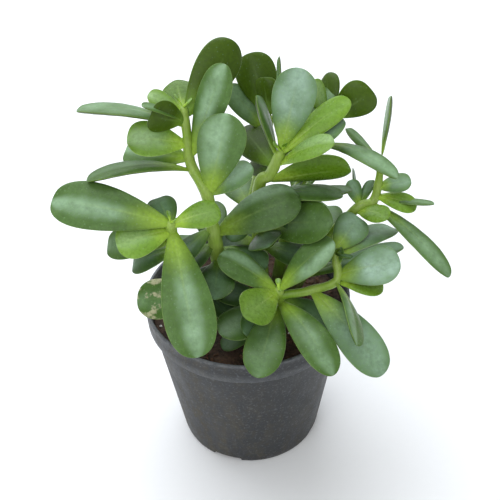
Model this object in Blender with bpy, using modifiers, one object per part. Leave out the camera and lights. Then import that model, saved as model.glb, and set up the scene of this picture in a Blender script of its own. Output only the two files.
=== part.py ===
"""A jade plant in a round nursery pot: pot, soil, eight stems and their fleshy leaves.

Everything is in metres, +Z up.  The pot stands on z = 0 with its axis on the
origin; -Y is the front.  Lengths in the tables below are millimetres and angles
are degrees.
"""
import math

import bmesh
import bpy
from mathutils import Matrix, Vector, noise

MM = 0.001

# Pot: a thin moulded plastic pot with a deeper collar round its mouth.
POT_HEIGHT = 90.0
RIM_RADIUS = 53.0
COLLAR_DEPTH = 12.0
COLLAR_STEP = 2.4
COLLAR_DRAFT = 0.6
BASE_RADIUS = 38.0
BASE_ROUND = 1.6
WALL = 1.5
FLOOR = 2.0
LIP_ROLL = 0.5
INNER_STEP = 1.5
FOOT_CORNER = 0.3
POT_SIDES = 64

# Drainage notches cut through the foot of the wall.
NOTCH_COUNT = 4
NOTCH_WIDTH = 16.0
NOTCH_HEIGHT = 3.2
NOTCH_DEPTH = 7.0
FIRST_NOTCH = -111.0

# Soil: fills the pot to a little under the rim.  Its side stays straight, so it
# is sized at SOIL_FIT below its top, where the wall starts to widen.  Each lump
# size is waves per metre and share of the roughness.
SOIL_TOP = 80.5
SOIL_GAP = 0.35
SOIL_FOOT_GAP = 0.3
SOIL_FIT = 6.0
SOIL_ROUGHNESS = 0.5
SOIL_LUMPS = ((90.0, 1.0), (260.0, 0.6))
SOIL_RINGS = 9
SOIL_SIDES = 40

# Leaves: obovate, fleshy, a little dished above and rounded at the tip.  Shares
# are of the leaf's width, except LEAF_FOOT_THICKNESS, which is of its thickness.
LEAF_THICKNESS = 4.2
LEAF_THICKEST_SHARE = 0.26
LEAF_FOOT_THICKNESS = 0.75
LEAF_NECK = 0.44
LEAF_SWELL = 0.88
LEAF_SWELL_POWER = 0.8
LEAF_DISH = 0.07
LEAF_SEGMENTS = 10
LEAF_RINGS = 9
BASE_GAP = 0.5
LEAST_SLANT = 0.5

# Stems: the centre line as x, y, z and the radius there, from the soil upward.
STEMS = {
    "left": ((-14, -8, 83, 3.6), (-24, -18, 112, 2.8), (-32, -22, 140, 2.4), (-33, -28, 158, 2.1)),
    "tall": (
        (-4, 2, 83, 4.4),
        (-12, -8, 112, 3.6),
        (-15, -12, 140, 3.0),
        (-17, -8, 158, 2.6),
        (-24, 0, 170, 2.3),
        (-25, 4, 183, 2.1),
        (-26, 6, 197, 1.8),
    ),
    "centre": ((8, 4, 83, 4.2), (7, 8, 147, 3.0), (13, 8, 158, 2.5), (18, 6, 172, 2.2)),
    "back": ((0, 22, 83, 3.4), (3, 24, 125, 2.6), (10, 29, 155, 2.2), (14, 32, 176, 1.9)),
    "rear": ((16, 14, 83, 3.6), (24, 18, 130, 2.8), (36, 22, 162, 2.2), (42, 23, 179, 1.9)),
    "right": (
        (22, 4, 83, 3.4),
        (38, 8, 112, 2.7),
        (55, 8, 136, 2.2),
        (64, 10, 140, 2.0),
        (67, 16, 161, 1.6),
    ),
    "front": ((10, -10, 83, 3.6), (15, -24, 104, 2.7), (15, -30, 118, 2.2)),
    "shoot": (
        (19, -28, 113, 2.1),
        (30, -27, 114, 2.1),
        (43, -24, 117, 2.0),
        (43, -18, 125, 1.7),
        (42, -14, 130, 1.4),
    ),
}

# Leaves of each stem: distance below the stem's tip, heading (0 is +X, 90 is +Y),
# rise above the horizontal, reach from the stem's centre line to the leaf's tip,
# width, twist about the leaf's own length, and how far its middle bows upward.
LEAVES = {
    "left": (
        (1, 165, 4, 57, 23, -32, 3),
        (6, -164, -6, 26, 19, -28, 1),
        (14, 160, -19, 38, 17, -36, 2),
        (5, -76, -45, 59, 25, 5, 2),
        (2, 12, 8, 23, 15, 20, 1),
        (21, 165, -32, 28, 16, -20, 1),
        (62, -175, 2, 35, 22, -25, 1),
    ),
    "tall": (
        (30, -168, 2, 49, 16, 8, 4),
        (18, -176, 9, 28, 18, -33, 1),
        (25, 154, -8, 36, 18, -30, 1),
        (9, -176, 13, 49, 16, 12, 3),
        (7, -140, 30, 21, 16, 85, 0),
        (3, 101, 14, 22, 16, 172, 0),
        (5, 42, 40, 41, 20, -125, 0),
        (26, 20, 67, 49, 16, 40, 0),
        (46, 26, 74, 44, 22, 58, -1),
        (64, 12, 17, 44, 23, 24, 2),
        (80, -93, -3, 30, 18, 0, 1),
    ),
    "centre": (
        (1, 42, 72, 41, 23, 40, -1),
        (5, 123, 57, 31, 16, 45, 0),
        (2, 20, 31, 41, 16, 30, 1),
        (9, -29, 34, 36, 14, 24, 2),
        (2, 47, 27, 41, 16, 20, 0),
        (19, -10, 14, 41, 20, -70, 2),
        (28, -11, 4, 41, 16, -5, 1),
        (46, -32, 22, 43, 21, 45, 1),
    ),
    "back": (
        (2, 123, 60, 33, 20, 150, 0),
        (9, 160, 47, 30, 14, -22, 0),
    ),
    "rear": (
        (14, -42, -2, 45, 17, 0, 4),
        (1, -4, 40, 25, 19, -95, 0),
    ),
    "right": (
        (1, 71, 61, 30, 12, -74, 0),
        (4, 128, 20, 26, 14, 20, 0),
        (20, -20, -10, 21, 12, 17, 1),
        (33, -42, 12, 20, 12, 18, 1),
        (24, -42, -26, 53, 15, 0, 3),
        (82, 2, 18, 55, 17, -11, 1),
    ),
    "front": (
        (1, 25, 34, 35, 18, 5, 1),
        (2, 160, 26, 33, 17, -10, 1),
        (2, -130, 6, 26, 19, -34, 0),
        (14, -105, -9, 45, 20, -8, 2),
        (10, -61, -12, 49, 19, 5, 5),
        (21, 174, 14, 31, 18, 0, 1),
        (9, -6, -36, 32, 17, 24, 0),
    ),
    "shoot": (
        (29, -48, -27, 52, 21, 8, 3),
        (16, -81, -10, 39, 13, -50, 2),
        (17, -14, -4, 23, 13, 8, 1),
        (14, -4, 16, 31, 22, 18, 1),
        (2, 52, 16, 23, 17, 24, 1),
        (5, 38, -4, 40, 18, -10, 2),
    ),
}

# Finish of each kind of piece: colour, roughness.
FINISHES = {
    "pot_plastic": ((0.045, 0.048, 0.052, 1.0), 0.55),
    "potting_soil": ((0.045, 0.026, 0.016, 1.0), 0.95),
    "stem_skin": ((0.24, 0.36, 0.07, 1.0), 0.50),
    "leaf_skin": ((0.14, 0.25, 0.07, 1.0), 0.38),
}


def clear_scene():
    """Start from an empty file."""
    for old in list(bpy.data.objects):
        bpy.data.objects.remove(old, do_unlink=True)


def make_material(node_name, finish):
    """Give one node its own material in the named finish."""
    colour, roughness = FINISHES[finish]
    material = bpy.data.materials.new(node_name + "_" + finish)
    material.use_nodes = True
    shader = material.node_tree.nodes["Principled BSDF"]
    shader.inputs["Base Color"].default_value = colour
    shader.inputs["Roughness"].default_value = roughness
    shader.inputs["Metallic"].default_value = 0.0
    return material


def place(data, name, finish, collection):
    """Put mesh or curve data in the collection as one named node."""
    thing = bpy.data.objects.new(name, data)
    collection.objects.link(thing)
    data.materials.append(make_material(name, finish))
    return thing


def turned(name, profile, sides, finish, collection):
    """Turn a profile of (radius, height) millimetres about the Z axis."""
    bm = bmesh.new()
    points = [bm.verts.new((radius * MM, 0.0, height * MM)) for radius, height in profile]
    for first, second in zip(points, points[1:]):
        bm.edges.new((first, second))
    mesh = bpy.data.meshes.new(name)
    bm.to_mesh(mesh)
    bm.free()
    thing = place(mesh, name, finish, collection)
    screw = thing.modifiers.new("turn", "SCREW")
    screw.axis = "Z"
    screw.angle = math.tau
    screw.steps = sides
    screw.render_steps = sides
    screw.use_merge_vertices = True
    screw.merge_threshold = 0.0001
    screw.use_normal_calculate = True
    screw.use_smooth_shade = True
    return thing


def wall_radius(height):
    """Outer radius of the tapered wall below the collar."""
    top = RIM_RADIUS - COLLAR_DRAFT - COLLAR_STEP
    share = height / (POT_HEIGHT - COLLAR_DEPTH)
    return BASE_RADIUS + (top - BASE_RADIUS) * share


def make_pot(collection, cutters):
    """The pot: outer side from the foot's centre up to the lip, then down inside."""
    ledge = POT_HEIGHT - COLLAR_DEPTH
    collar = RIM_RADIUS - COLLAR_DRAFT
    profile = (
        (0.0, FLOOR),
        (BASE_RADIUS - WALL, FLOOR),
        (wall_radius(ledge) - WALL, ledge + WALL),
        (collar - WALL, ledge + WALL + INNER_STEP),
        (RIM_RADIUS - WALL, POT_HEIGHT - LIP_ROLL),
        (RIM_RADIUS - WALL + LIP_ROLL, POT_HEIGHT),
        (RIM_RADIUS - LIP_ROLL, POT_HEIGHT),
        (RIM_RADIUS, POT_HEIGHT - LIP_ROLL),
        (collar, ledge + LIP_ROLL),
        (collar - LIP_ROLL, ledge),
        (wall_radius(ledge), ledge),
        (wall_radius(BASE_ROUND), BASE_ROUND),
        (BASE_RADIUS - FOOT_CORNER * BASE_ROUND, FOOT_CORNER * BASE_ROUND),
        (BASE_RADIUS - BASE_ROUND, 0.0),
        (0.0, 0.0),
    )
    pot = turned("pot", profile, POT_SIDES, "pot_plastic", collection)
    for index in range(NOTCH_COUNT):
        angle = math.radians(FIRST_NOTCH + index * 360.0 / NOTCH_COUNT)
        turn = Matrix.Rotation(angle, 4, "Z")
        size = Matrix.Diagonal((2.0 * NOTCH_DEPTH * MM, NOTCH_WIDTH * MM, 2.0 * NOTCH_HEIGHT * MM, 1.0))
        shift = Matrix.Translation((BASE_RADIUS * MM, 0.0, 0.0))
        bm = bmesh.new()
        bmesh.ops.create_cube(bm, size=1.0, matrix=turn @ shift @ size)
        mesh = bpy.data.meshes.new("notch_cutter")
        bm.to_mesh(mesh)
        bm.free()
        cutter = bpy.data.objects.new("notch_cutter", mesh)
        cutter.hide_render = True
        cutter.display_type = "WIRE"
        cutters.objects.link(cutter)
        cut = pot.modifiers.new("notch", "BOOLEAN")
        cut.operation = "DIFFERENCE"
        cut.solver = "EXACT"
        cut.object = cutter
    return pot


def make_soil(collection):
    """The soil: a plug that follows the pot's inside, with a lumpy top."""
    top_radius = wall_radius(SOIL_TOP - SOIL_FIT) - WALL - SOIL_GAP
    low_radius = wall_radius(FLOOR) - WALL - SOIL_GAP - SOIL_FOOT_GAP
    bm = bmesh.new()
    bmesh.ops.create_cone(
        bm,
        cap_ends=True,
        segments=SOIL_SIDES,
        radius1=low_radius * MM,
        radius2=top_radius * MM,
        depth=(SOIL_TOP - FLOOR - SOIL_GAP) * MM,
    )
    bmesh.ops.translate(bm, verts=bm.verts, vec=(0.0, 0.0, 0.5 * (SOIL_TOP + FLOOR + SOIL_GAP) * MM))
    top = max(bm.faces, key=lambda face: face.calc_center_median().z)
    for ring in range(SOIL_RINGS):
        width = top_radius / (SOIL_RINGS + 1) * MM
        bmesh.ops.inset_region(bm, faces=[top], thickness=width, use_even_offset=True)
        for vert in top.verts:
            wave = sum(share * noise.noise(vert.co * scale) for scale, share in SOIL_LUMPS)
            vert.co.z += SOIL_ROUGHNESS * wave * MM
    bmesh.ops.triangulate(bm, faces=[face for face in bm.faces if len(face.verts) > 4])
    bmesh.ops.recalc_face_normals(bm, faces=bm.faces)
    mesh = bpy.data.meshes.new("soil")
    bm.to_mesh(mesh)
    bm.free()
    mesh.shade_smooth()
    return place(mesh, "soil", "potting_soil", collection)


def make_stem(name, points, collection):
    """A stem: a round tube along its centre line with capped ends."""
    curve = bpy.data.curves.new(name, "CURVE")
    curve.dimensions = "3D"
    curve.bevel_depth = MM
    curve.bevel_resolution = 2
    curve.use_fill_caps = True
    spline = curve.splines.new("POLY")
    spline.points.add(len(points) - 1)
    for point, (x, y, z, radius) in zip(spline.points, points):
        point.co = (x * MM, y * MM, z * MM, 1.0)
        point.radius = radius
    return place(curve, name, "stem_skin", collection)


def stem_point(points, below):
    """Point, axis direction and radius of a stem at a distance below its tip."""
    path = [(Vector(point[:3]), point[3]) for point in reversed(points)]
    for (upper, thin), (lower, thick) in zip(path, path[1:]):
        length = (upper - lower).length
        if below <= length:
            share = below / length
            return upper.lerp(lower, share), (upper - lower).normalized(), thin + (thick - thin) * share
        below -= length
    return path[-1][0], Vector((0.0, 0.0, 1.0)), path[-1][1]


def leaf_half_width(share):
    """Half width at a share of the length, as a share of the widest half width."""
    round_ends = 2.0 * math.sqrt(max(share * (1.0 - share), 0.0))
    return round_ends * (LEAF_NECK + LEAF_SWELL * share ** LEAF_SWELL_POWER)


def make_leaf(name, stem_points, form, collection):
    """One leaf: a ball drawn out along the leaf's length and pressed flat."""
    below, heading, rise, reach, width, twist, bow = form
    foot, axis, radius = stem_point(stem_points, below)
    turn, lift = math.radians(heading), math.radians(rise)
    along = Vector((math.cos(turn) * math.cos(lift), math.sin(turn) * math.cos(lift), math.sin(lift)))
    upward = Vector((-math.cos(turn) * math.sin(lift), -math.sin(turn) * math.sin(lift), math.cos(lift)))
    upward = Matrix.Rotation(math.radians(twist), 3, along) @ upward
    across = upward.cross(along)
    slant = max(along.cross(axis).length, LEAST_SLANT)
    start = (radius + BASE_GAP) / slant
    length = reach - start
    thickness = min(LEAF_THICKNESS, LEAF_THICKEST_SHARE * width)
    bm = bmesh.new()
    bmesh.ops.create_uvsphere(bm, u_segments=LEAF_SEGMENTS, v_segments=LEAF_RINGS, radius=1.0)
    for vert in bm.verts:
        ball = vert.co.copy()
        share = 0.5 * (1.0 + ball.z)
        ring = max(math.hypot(ball.x, ball.y), 1e-6)
        half = 0.5 * width * leaf_half_width(share)
        fullness = LEAF_FOOT_THICKNESS + (1.0 - LEAF_FOOT_THICKNESS) * share
        thick = 0.5 * thickness * math.sqrt(max(1.0 - ball.z * ball.z, 0.0)) * fullness
        side = ball.x / ring
        flat = ball.y / ring
        spine = foot + along * (start + length * share) + upward * (bow * 4.0 * share * (1.0 - share))
        dish = LEAF_DISH * width * side * side * share
        vert.co = (spine + across * (half * side) + upward * (thick * flat + dish)) * MM
    mesh = bpy.data.meshes.new(name)
    bm.to_mesh(mesh)
    bm.free()
    mesh.shade_smooth()
    return place(mesh, name, "leaf_skin", collection)


def main():
    """Build the pot, the soil, the stems and the leaves."""
    clear_scene()
    collection = bpy.data.collections.new("potted_jade_plant")
    cutters = bpy.data.collections.new("cutters")
    bpy.context.scene.collection.children.link(collection)
    bpy.context.scene.collection.children.link(cutters)
    make_pot(collection, cutters)
    make_soil(collection)
    for stem, points in STEMS.items():
        make_stem("stem_" + stem, points, collection)
        for number, form in enumerate(LEAVES[stem], start=1):
            make_leaf("leaf_{}_{}".format(stem, number), points, form, collection)


main()
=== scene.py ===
"""A jade plant in a nursery pot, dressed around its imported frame.

Every piece is built in metres in the frame's own space, +Z up.  A piece that is shaped
after a frame node stands for it; the smallest leaves and what lies on the soil have no
node.  The frame's nodes themselves are not changed.
"""
import logging
import math
import random
from dataclasses import dataclass, replace
from enum import Enum
from typing import Any, Callable, Sequence

import bmesh
import bpy
import numpy as np
from mathutils import Matrix, Vector, noise


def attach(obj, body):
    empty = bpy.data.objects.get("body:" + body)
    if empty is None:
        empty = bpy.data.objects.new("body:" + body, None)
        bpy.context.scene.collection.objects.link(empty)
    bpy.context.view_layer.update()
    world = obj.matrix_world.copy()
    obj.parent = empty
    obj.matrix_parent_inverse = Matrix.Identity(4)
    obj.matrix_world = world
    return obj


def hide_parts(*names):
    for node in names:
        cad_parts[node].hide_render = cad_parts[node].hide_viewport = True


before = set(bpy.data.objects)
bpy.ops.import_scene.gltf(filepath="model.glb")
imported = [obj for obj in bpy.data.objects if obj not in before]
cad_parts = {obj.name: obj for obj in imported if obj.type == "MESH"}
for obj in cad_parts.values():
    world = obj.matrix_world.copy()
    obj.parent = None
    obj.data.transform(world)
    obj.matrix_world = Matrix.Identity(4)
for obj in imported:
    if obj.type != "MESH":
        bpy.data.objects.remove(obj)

log = logging.getLogger("jade_plant")

MM = 0.001
ROOT = "root"
UP = Vector((0.0, 0.0, 1.0))
# Corners closer than this, in millimetres, are one corner of a turned shape.
WELD = 0.005

Socket = bpy.types.NodeSocket


# --------------------------------------------------------------------------
# Small helpers shared by every finish and piece
# --------------------------------------------------------------------------
def linear(code: str) -> tuple[float, float, float, float]:
    """Turn an sRGB hex colour into the linear colour that a shader takes.

    Args:
        code: six hex digits, with or without a leading #.

    Returns:
        Red, green, blue and an alpha of one.
    """
    digits = code.lstrip("#")
    values = [int(digits[at : at + 2], 16) / 255.0 for at in (0, 2, 4)]
    red, green, blue = [v / 12.92 if v <= 0.04045 else ((v + 0.055) / 1.055) ** 2.4 for v in values]
    return (red, green, blue, 1.0)


def per_metre(size_mm: float) -> float:
    """Return the texture scale whose features are size_mm apart in a pattern read in metres."""
    return 1.0 / (size_mm * MM)


def add_node(
    tree: bpy.types.NodeTree,
    kind: str,
    inputs: dict[Any, Any] | None = None,
    **settings: Any,
) -> bpy.types.Node:
    """Add one shader node.

    Args:
        tree: the material's node tree.
        kind: the node's type name.
        inputs: input name or number to a value, or to a socket that is linked to it.
        settings: properties of the node itself.

    Returns:
        The new node.
    """
    node = tree.nodes.new(kind)
    for key, value in settings.items():
        setattr(node, key, value)
    for key, value in (inputs or {}).items():
        if isinstance(value, Socket):
            tree.links.new(value, node.inputs[key])
        else:
            node.inputs[key].default_value = value
    return node


def new_material(name: str) -> tuple[bpy.types.Material, bpy.types.Node]:
    """Make an empty node material.

    Args:
        name: the material's name.

    Returns:
        The material and its Principled shader.
    """
    material = bpy.data.materials.new(name)
    material.use_nodes = True
    shader = material.node_tree.nodes["Principled BSDF"]
    return material, shader


def smooth_step(low: float, high: float, value: float) -> float:
    """Return 0 below low, 1 above high, and a smooth rise between them."""
    share = min(max((value - low) / (high - low), 0.0), 1.0)
    return share * share * (3.0 - 2.0 * share)


def turned(profile: Sequence[tuple[float, float]], sides: int) -> bmesh.types.BMesh:
    """Spin a half section round the pot's axis.

    Args:
        profile: its points as (radius, height) in millimetres, in order along the section.
        sides: how many flats make the full turn.

    Returns:
        The closed shape in metres.
    """
    bm = bmesh.new()
    points = [bm.verts.new((radius * MM, 0.0, height * MM)) for radius, height in profile]
    line = [bm.edges.new(pair) for pair in zip(points, points[1:])]
    bmesh.ops.spin(
        bm,
        geom=points + line,
        cent=(0.0, 0.0, 0.0),
        axis=(0.0, 0.0, 1.0),
        angle=math.tau,
        steps=sides,
        use_merge=True,
    )
    bmesh.ops.remove_doubles(bm, verts=bm.verts, dist=WELD * MM)
    return bm


def stand(bm: bmesh.types.BMesh, name: str) -> bpy.types.Object:
    """Turn a finished bmesh into an object of the scene.

    Args:
        bm: the mesh in world metres; it is freed.
        name: the object's name.

    Returns:
        The new object.
    """
    mesh = bpy.data.meshes.new(name)
    bm.to_mesh(mesh)
    bm.free()
    thing = bpy.data.objects.new(name, mesh)
    bpy.context.scene.collection.objects.link(thing)
    return thing


def lay_down(
    bm: bmesh.types.BMesh,
    name: str,
    material: bpy.types.Material,
    stands_for: Sequence[str] = (),
    smooth: bool = True,
) -> bpy.types.Object:
    """Turn a finished bmesh into a piece of the plant that rides on the root body.

    Args:
        bm: the closed mesh in world metres; it is freed.
        name: the piece's name.
        material: its finish.
        stands_for: frame nodes that the piece replaces.
        smooth: whether its faces are shaded smooth.

    Returns:
        The new object.
    """
    bmesh.ops.recalc_face_normals(bm, faces=bm.faces)
    for face in bm.faces:
        face.smooth = smooth
    piece = stand(bm, name)
    piece.data.materials.append(material)
    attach(piece, ROOT)
    if stands_for:
        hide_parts(*stands_for)
    log.info("built %s: %d faces", name, len(piece.data.polygons))
    return piece


# --------------------------------------------------------------------------
# Finishes
# --------------------------------------------------------------------------
@dataclass(frozen=True)
class LeafMap:
    """What a leaf's finish reads: places on the leaf, that leaf's own marks, and shared patterns."""

    spot: Socket
    along: Socket
    across: Socket
    from_middle: Socket
    face: Socket
    tone: Socket
    wear: Socket
    band_at: Socket
    band_half: Socket
    band_share: Socket
    clouds: Socket
    wax_cloud: Socket
    mottle: Socket
    pores: Socket


@dataclass(frozen=True)
class LeafFinish:
    """Living skin of a jade leaf: a thick green blade under a thin waxy cuticle.

    The cuticle gives a broad soft gloss, a pale band of painted highlight on the upper face
    turns it blue-green, and the thin edge is paler than the blade.
    """

    name: str
    upper: str
    upper_light: str
    under: str
    foot: str
    rim: str
    bloom: str
    roughness: float
    scar: str = "#C2BC98"

    def read(self, tree: bpy.types.NodeTree) -> LeafMap:
        """Add the attributes and patterns that the rest of the finish works from.

        Args:
            tree: the material's node tree.

        Returns:
            Their sockets.
        """
        spot = add_node(tree, "ShaderNodeTexCoord").outputs["Object"]
        place = add_node(tree, "ShaderNodeAttribute", attribute_name="leaf_place")
        parts = add_node(tree, "ShaderNodeSeparateXYZ", {0: place.outputs["Vector"]}).outputs
        marks = add_node(tree, "ShaderNodeAttribute", attribute_name="leaf_marks")
        kinds = add_node(tree, "ShaderNodeSeparateXYZ", {0: marks.outputs["Vector"]}).outputs
        wax = add_node(tree, "ShaderNodeAttribute", attribute_name="leaf_painted_highlight")
        bands = add_node(tree, "ShaderNodeSeparateXYZ", {0: wax.outputs["Vector"]}).outputs
        from_middle = add_node(tree, "ShaderNodeMath", {0: parts[1]}, operation="ABSOLUTE").outputs[0]
        # Broad clouds in the green, about 9 mm, and finer mottling, about 1.6 mm.
        clouds = add_node(
            tree,
            "ShaderNodeTexNoise",
            {"Vector": spot, "Scale": per_metre(9.0), "Detail": 3.0, "Roughness": 0.55},
        ).outputs["Fac"]
        wax_cloud = add_node(
            tree,
            "ShaderNodeMapRange",
            {"Value": clouds, "From Min": 0.25, "From Max": 0.75, "To Min": 0.35, "To Max": 1.0},
        ).outputs[0]
        mottle = add_node(
            tree,
            "ShaderNodeTexNoise",
            {"Vector": spot, "Scale": per_metre(1.6), "Detail": 4.0, "Roughness": 0.6},
        ).outputs["Fac"]
        # Water pores: real ones are 0.2 mm, drawn 0.7 mm wide and 2.1 mm apart so that they show.
        cells = add_node(
            tree,
            "ShaderNodeTexVoronoi",
            {"Vector": spot, "Scale": per_metre(2.1), "Randomness": 0.9},
        ).outputs["Distance"]
        pores = add_node(
            tree,
            "ShaderNodeMapRange",
            {"Value": cells, "From Min": 0.10, "From Max": 0.22, "To Min": 1.0, "To Max": 0.0},
            interpolation_type="SMOOTHSTEP",
        ).outputs[0]
        return LeafMap(
            spot=spot,
            along=parts[0],
            across=parts[1],
            from_middle=from_middle,
            face=parts[2],
            tone=kinds[0],
            wear=kinds[1],
            band_at=bands[0],
            band_half=bands[1],
            band_share=bands[2],
            clouds=clouds,
            wax_cloud=wax_cloud,
            mottle=mottle,
            pores=pores,
        )

    def wax_share(self, tree: bpy.types.NodeTree, leaf: LeafMap, upper_mask: Socket) -> Socket:
        """Add the painted highlight, laid like a pale bloom: most on the outer half of the upper face, in the
        leaf's own band.

        Args:
            tree: the material's node tree.
            leaf: what the finish reads.
            upper_mask: one on the upper face and nought on the lower.

        Returns:
            The share of the green that the painted highlight covers.
        """
        outer = add_node(
            tree,
            "ShaderNodeMapRange",
            {"Value": leaf.along, "From Min": 0.10, "From Max": 0.55, "To Min": 0.25, "To Max": 1.0},
            interpolation_type="SMOOTHSTEP",
        ).outputs[0]
        outer = add_node(
            tree, "ShaderNodeMath", {0: outer, 1: leaf.wax_cloud}, operation="MULTIPLY"
        ).outputs[0]
        outer = add_node(tree, "ShaderNodeMath", {0: outer, 1: upper_mask}, operation="MULTIPLY").outputs[0]
        off_band = add_node(
            tree, "ShaderNodeMath", {0: leaf.across, 1: leaf.band_at}, operation="SUBTRACT"
        ).outputs[0]
        off_band = add_node(tree, "ShaderNodeMath", {0: off_band}, operation="ABSOLUTE").outputs[0]
        off_band = add_node(
            tree, "ShaderNodeMath", {0: off_band, 1: leaf.band_half}, operation="DIVIDE"
        ).outputs[0]
        off_band = add_node(
            tree, "ShaderNodeMath", {0: leaf.mottle, 1: 0.9, 2: off_band}, operation="MULTIPLY_ADD"
        ).outputs[0]
        band = add_node(
            tree,
            "ShaderNodeMapRange",
            {"Value": off_band, "From Min": 0.75, "From Max": 1.85, "To Min": 1.0, "To Max": 0.12},
            interpolation_type="SMOOTHSTEP",
        ).outputs[0]
        band = add_node(
            tree, "ShaderNodeMath", {0: band, 1: leaf.band_share}, operation="MULTIPLY"
        ).outputs[0]
        return add_node(tree, "ShaderNodeMath", {0: outer, 1: band}, operation="MULTIPLY").outputs[0]

    def waxed_skin(self, tree: bpy.types.NodeTree, leaf: LeafMap) -> Socket:
        """Add the green of both faces and the painted highlight, a pale band, on the upper one.

        Args:
            tree: the material's node tree.
            leaf: what the finish reads.

        Returns:
            The colour so far.
        """
        upper = add_node(
            tree,
            "ShaderNodeMix",
            {0: leaf.clouds, 6: linear(self.upper), 7: linear(self.upper_light)},
            data_type="RGBA",
        ).outputs[2]
        upper_mask = add_node(
            tree,
            "ShaderNodeMapRange",
            {"Value": leaf.face, "From Min": -0.25, "From Max": 0.30},
            interpolation_type="SMOOTHSTEP",
        ).outputs[0]
        skin = add_node(
            tree, "ShaderNodeMix", {0: upper_mask, 6: linear(self.under), 7: upper}, data_type="RGBA"
        ).outputs[2]
        # Painted highlight: a pale band on the upper face stands in for the sky's reflection in the gloss.
        wax = self.wax_share(tree, leaf, upper_mask)
        return add_node(
            tree, "ShaderNodeMix", {0: wax, 6: skin, 7: linear(self.bloom)}, data_type="RGBA"
        ).outputs[2]

    def foot_and_rib(self, tree: bpy.types.NodeTree, leaf: LeafMap, skin: Socket) -> Socket:
        """Add the yellow-green foot, which thins out along the paler midrib.

        Args:
            tree: the material's node tree.
            leaf: what the finish reads.
            skin: the colour so far.

        Returns:
            The colour with the foot and the midrib.
        """
        reach = add_node(
            tree, "ShaderNodeMath", {0: leaf.from_middle, 1: 0.16, 2: leaf.along}, operation="MULTIPLY_ADD"
        ).outputs[0]
        foot = add_node(
            tree,
            "ShaderNodeMapRange",
            {"Value": reach, "From Min": 0.04, "From Max": 0.48, "To Min": 0.95, "To Max": 0.0},
            interpolation_type="SMOOTHSTEP",
        ).outputs[0]
        skin = add_node(
            tree, "ShaderNodeMix", {0: foot, 6: skin, 7: linear(self.foot)}, data_type="RGBA"
        ).outputs[2]
        rib = add_node(
            tree,
            "ShaderNodeMapRange",
            {"Value": leaf.from_middle, "From Min": 0.0, "From Max": 0.10, "To Min": 0.30, "To Max": 0.0},
            interpolation_type="SMOOTHSTEP",
        ).outputs[0]
        rib_fade = add_node(
            tree,
            "ShaderNodeMapRange",
            {"Value": leaf.along, "From Min": 0.35, "From Max": 0.85, "To Min": 1.0, "To Max": 0.0},
        ).outputs[0]
        rib = add_node(tree, "ShaderNodeMath", {0: rib, 1: rib_fade}, operation="MULTIPLY").outputs[0]
        return add_node(
            tree, "ShaderNodeMix", {0: rib, 6: skin, 7: linear(self.rim)}, data_type="RGBA"
        ).outputs[2]

    def rim_and_pores(self, tree: bpy.types.NodeTree, leaf: LeafMap, skin: Socket) -> Socket:
        """Add the paler line round the edge and the pale dots of the pores.

        Args:
            tree: the material's node tree.
            leaf: what the finish reads.
            skin: the colour so far.

        Returns:
            The colour with the rim and the pores.
        """
        flatness = add_node(tree, "ShaderNodeMath", {0: leaf.face}, operation="ABSOLUTE").outputs[0]
        rim = add_node(
            tree,
            "ShaderNodeMapRange",
            {"Value": flatness, "From Min": 0.05, "From Max": 0.26, "To Min": 0.80, "To Max": 0.0},
            interpolation_type="SMOOTHSTEP",
        ).outputs[0]
        rim = add_node(
            tree, "ShaderNodeMath", {0: rim, 1: leaf.wax_cloud}, operation="MULTIPLY"
        ).outputs[0]
        skin = add_node(
            tree, "ShaderNodeMix", {0: rim, 6: skin, 7: linear(self.rim)}, data_type="RGBA"
        ).outputs[2]
        dots = add_node(tree, "ShaderNodeMath", {0: leaf.pores, 1: 0.16}, operation="MULTIPLY").outputs[0]
        return add_node(
            tree, "ShaderNodeMix", {0: dots, 6: skin, 7: linear(self.bloom)}, data_type="RGBA"
        ).outputs[2]

    def scars(self, tree: bpy.types.NodeTree, leaf: LeafMap) -> Socket:
        """Add the dry corky film where something has rubbed, in patches a few millimetres across.

        Args:
            tree: the material's node tree.
            leaf: what the finish reads.

        Returns:
            The share of the skin that the film covers, which grows with the leaf's wear.
        """
        level = add_node(
            tree,
            "ShaderNodeTexNoise",
            {"Vector": leaf.spot, "Scale": per_metre(7.0), "Detail": 4.0, "Roughness": 0.60},
        ).outputs["Fac"]
        level = add_node(
            tree, "ShaderNodeMath", {0: leaf.from_middle, 1: 0.16, 2: level}, operation="MULTIPLY_ADD"
        ).outputs[0]
        level = add_node(
            tree, "ShaderNodeMath", {0: leaf.wear, 1: 0.24, 2: level}, operation="MULTIPLY_ADD"
        ).outputs[0]
        return add_node(
            tree,
            "ShaderNodeMapRange",
            {"Value": level, "From Min": 0.83, "From Max": 0.90, "To Min": 0.0, "To Max": 0.75},
        ).outputs[0]

    def relief(self, tree: bpy.types.NodeTree, leaf: LeafMap, scars: Socket) -> Socket:
        """Add the skin's relief: cells drawn 0.7 mm, pores as shallow pits, scars slightly raised.

        Args:
            tree: the material's node tree.
            leaf: what the finish reads.
            scars: the share that the corky film covers.

        Returns:
            The bumped normal.
        """
        cells = add_node(
            tree, "ShaderNodeTexNoise", {"Vector": leaf.spot, "Scale": per_metre(0.7), "Detail": 2.0}
        ).outputs["Fac"]
        height = add_node(
            tree, "ShaderNodeMath", {0: leaf.mottle, 1: 0.8, 2: cells}, operation="MULTIPLY_ADD"
        ).outputs[0]
        height = add_node(
            tree, "ShaderNodeMath", {0: leaf.pores, 1: -0.5, 2: height}, operation="MULTIPLY_ADD"
        ).outputs[0]
        height = add_node(
            tree, "ShaderNodeMath", {0: scars, 1: 1.2, 2: height}, operation="MULTIPLY_ADD"
        ).outputs[0]
        return add_node(
            tree, "ShaderNodeBump", {"Height": height, "Strength": 0.5, "Distance": 0.14 * MM}
        ).outputs[0]

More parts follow.
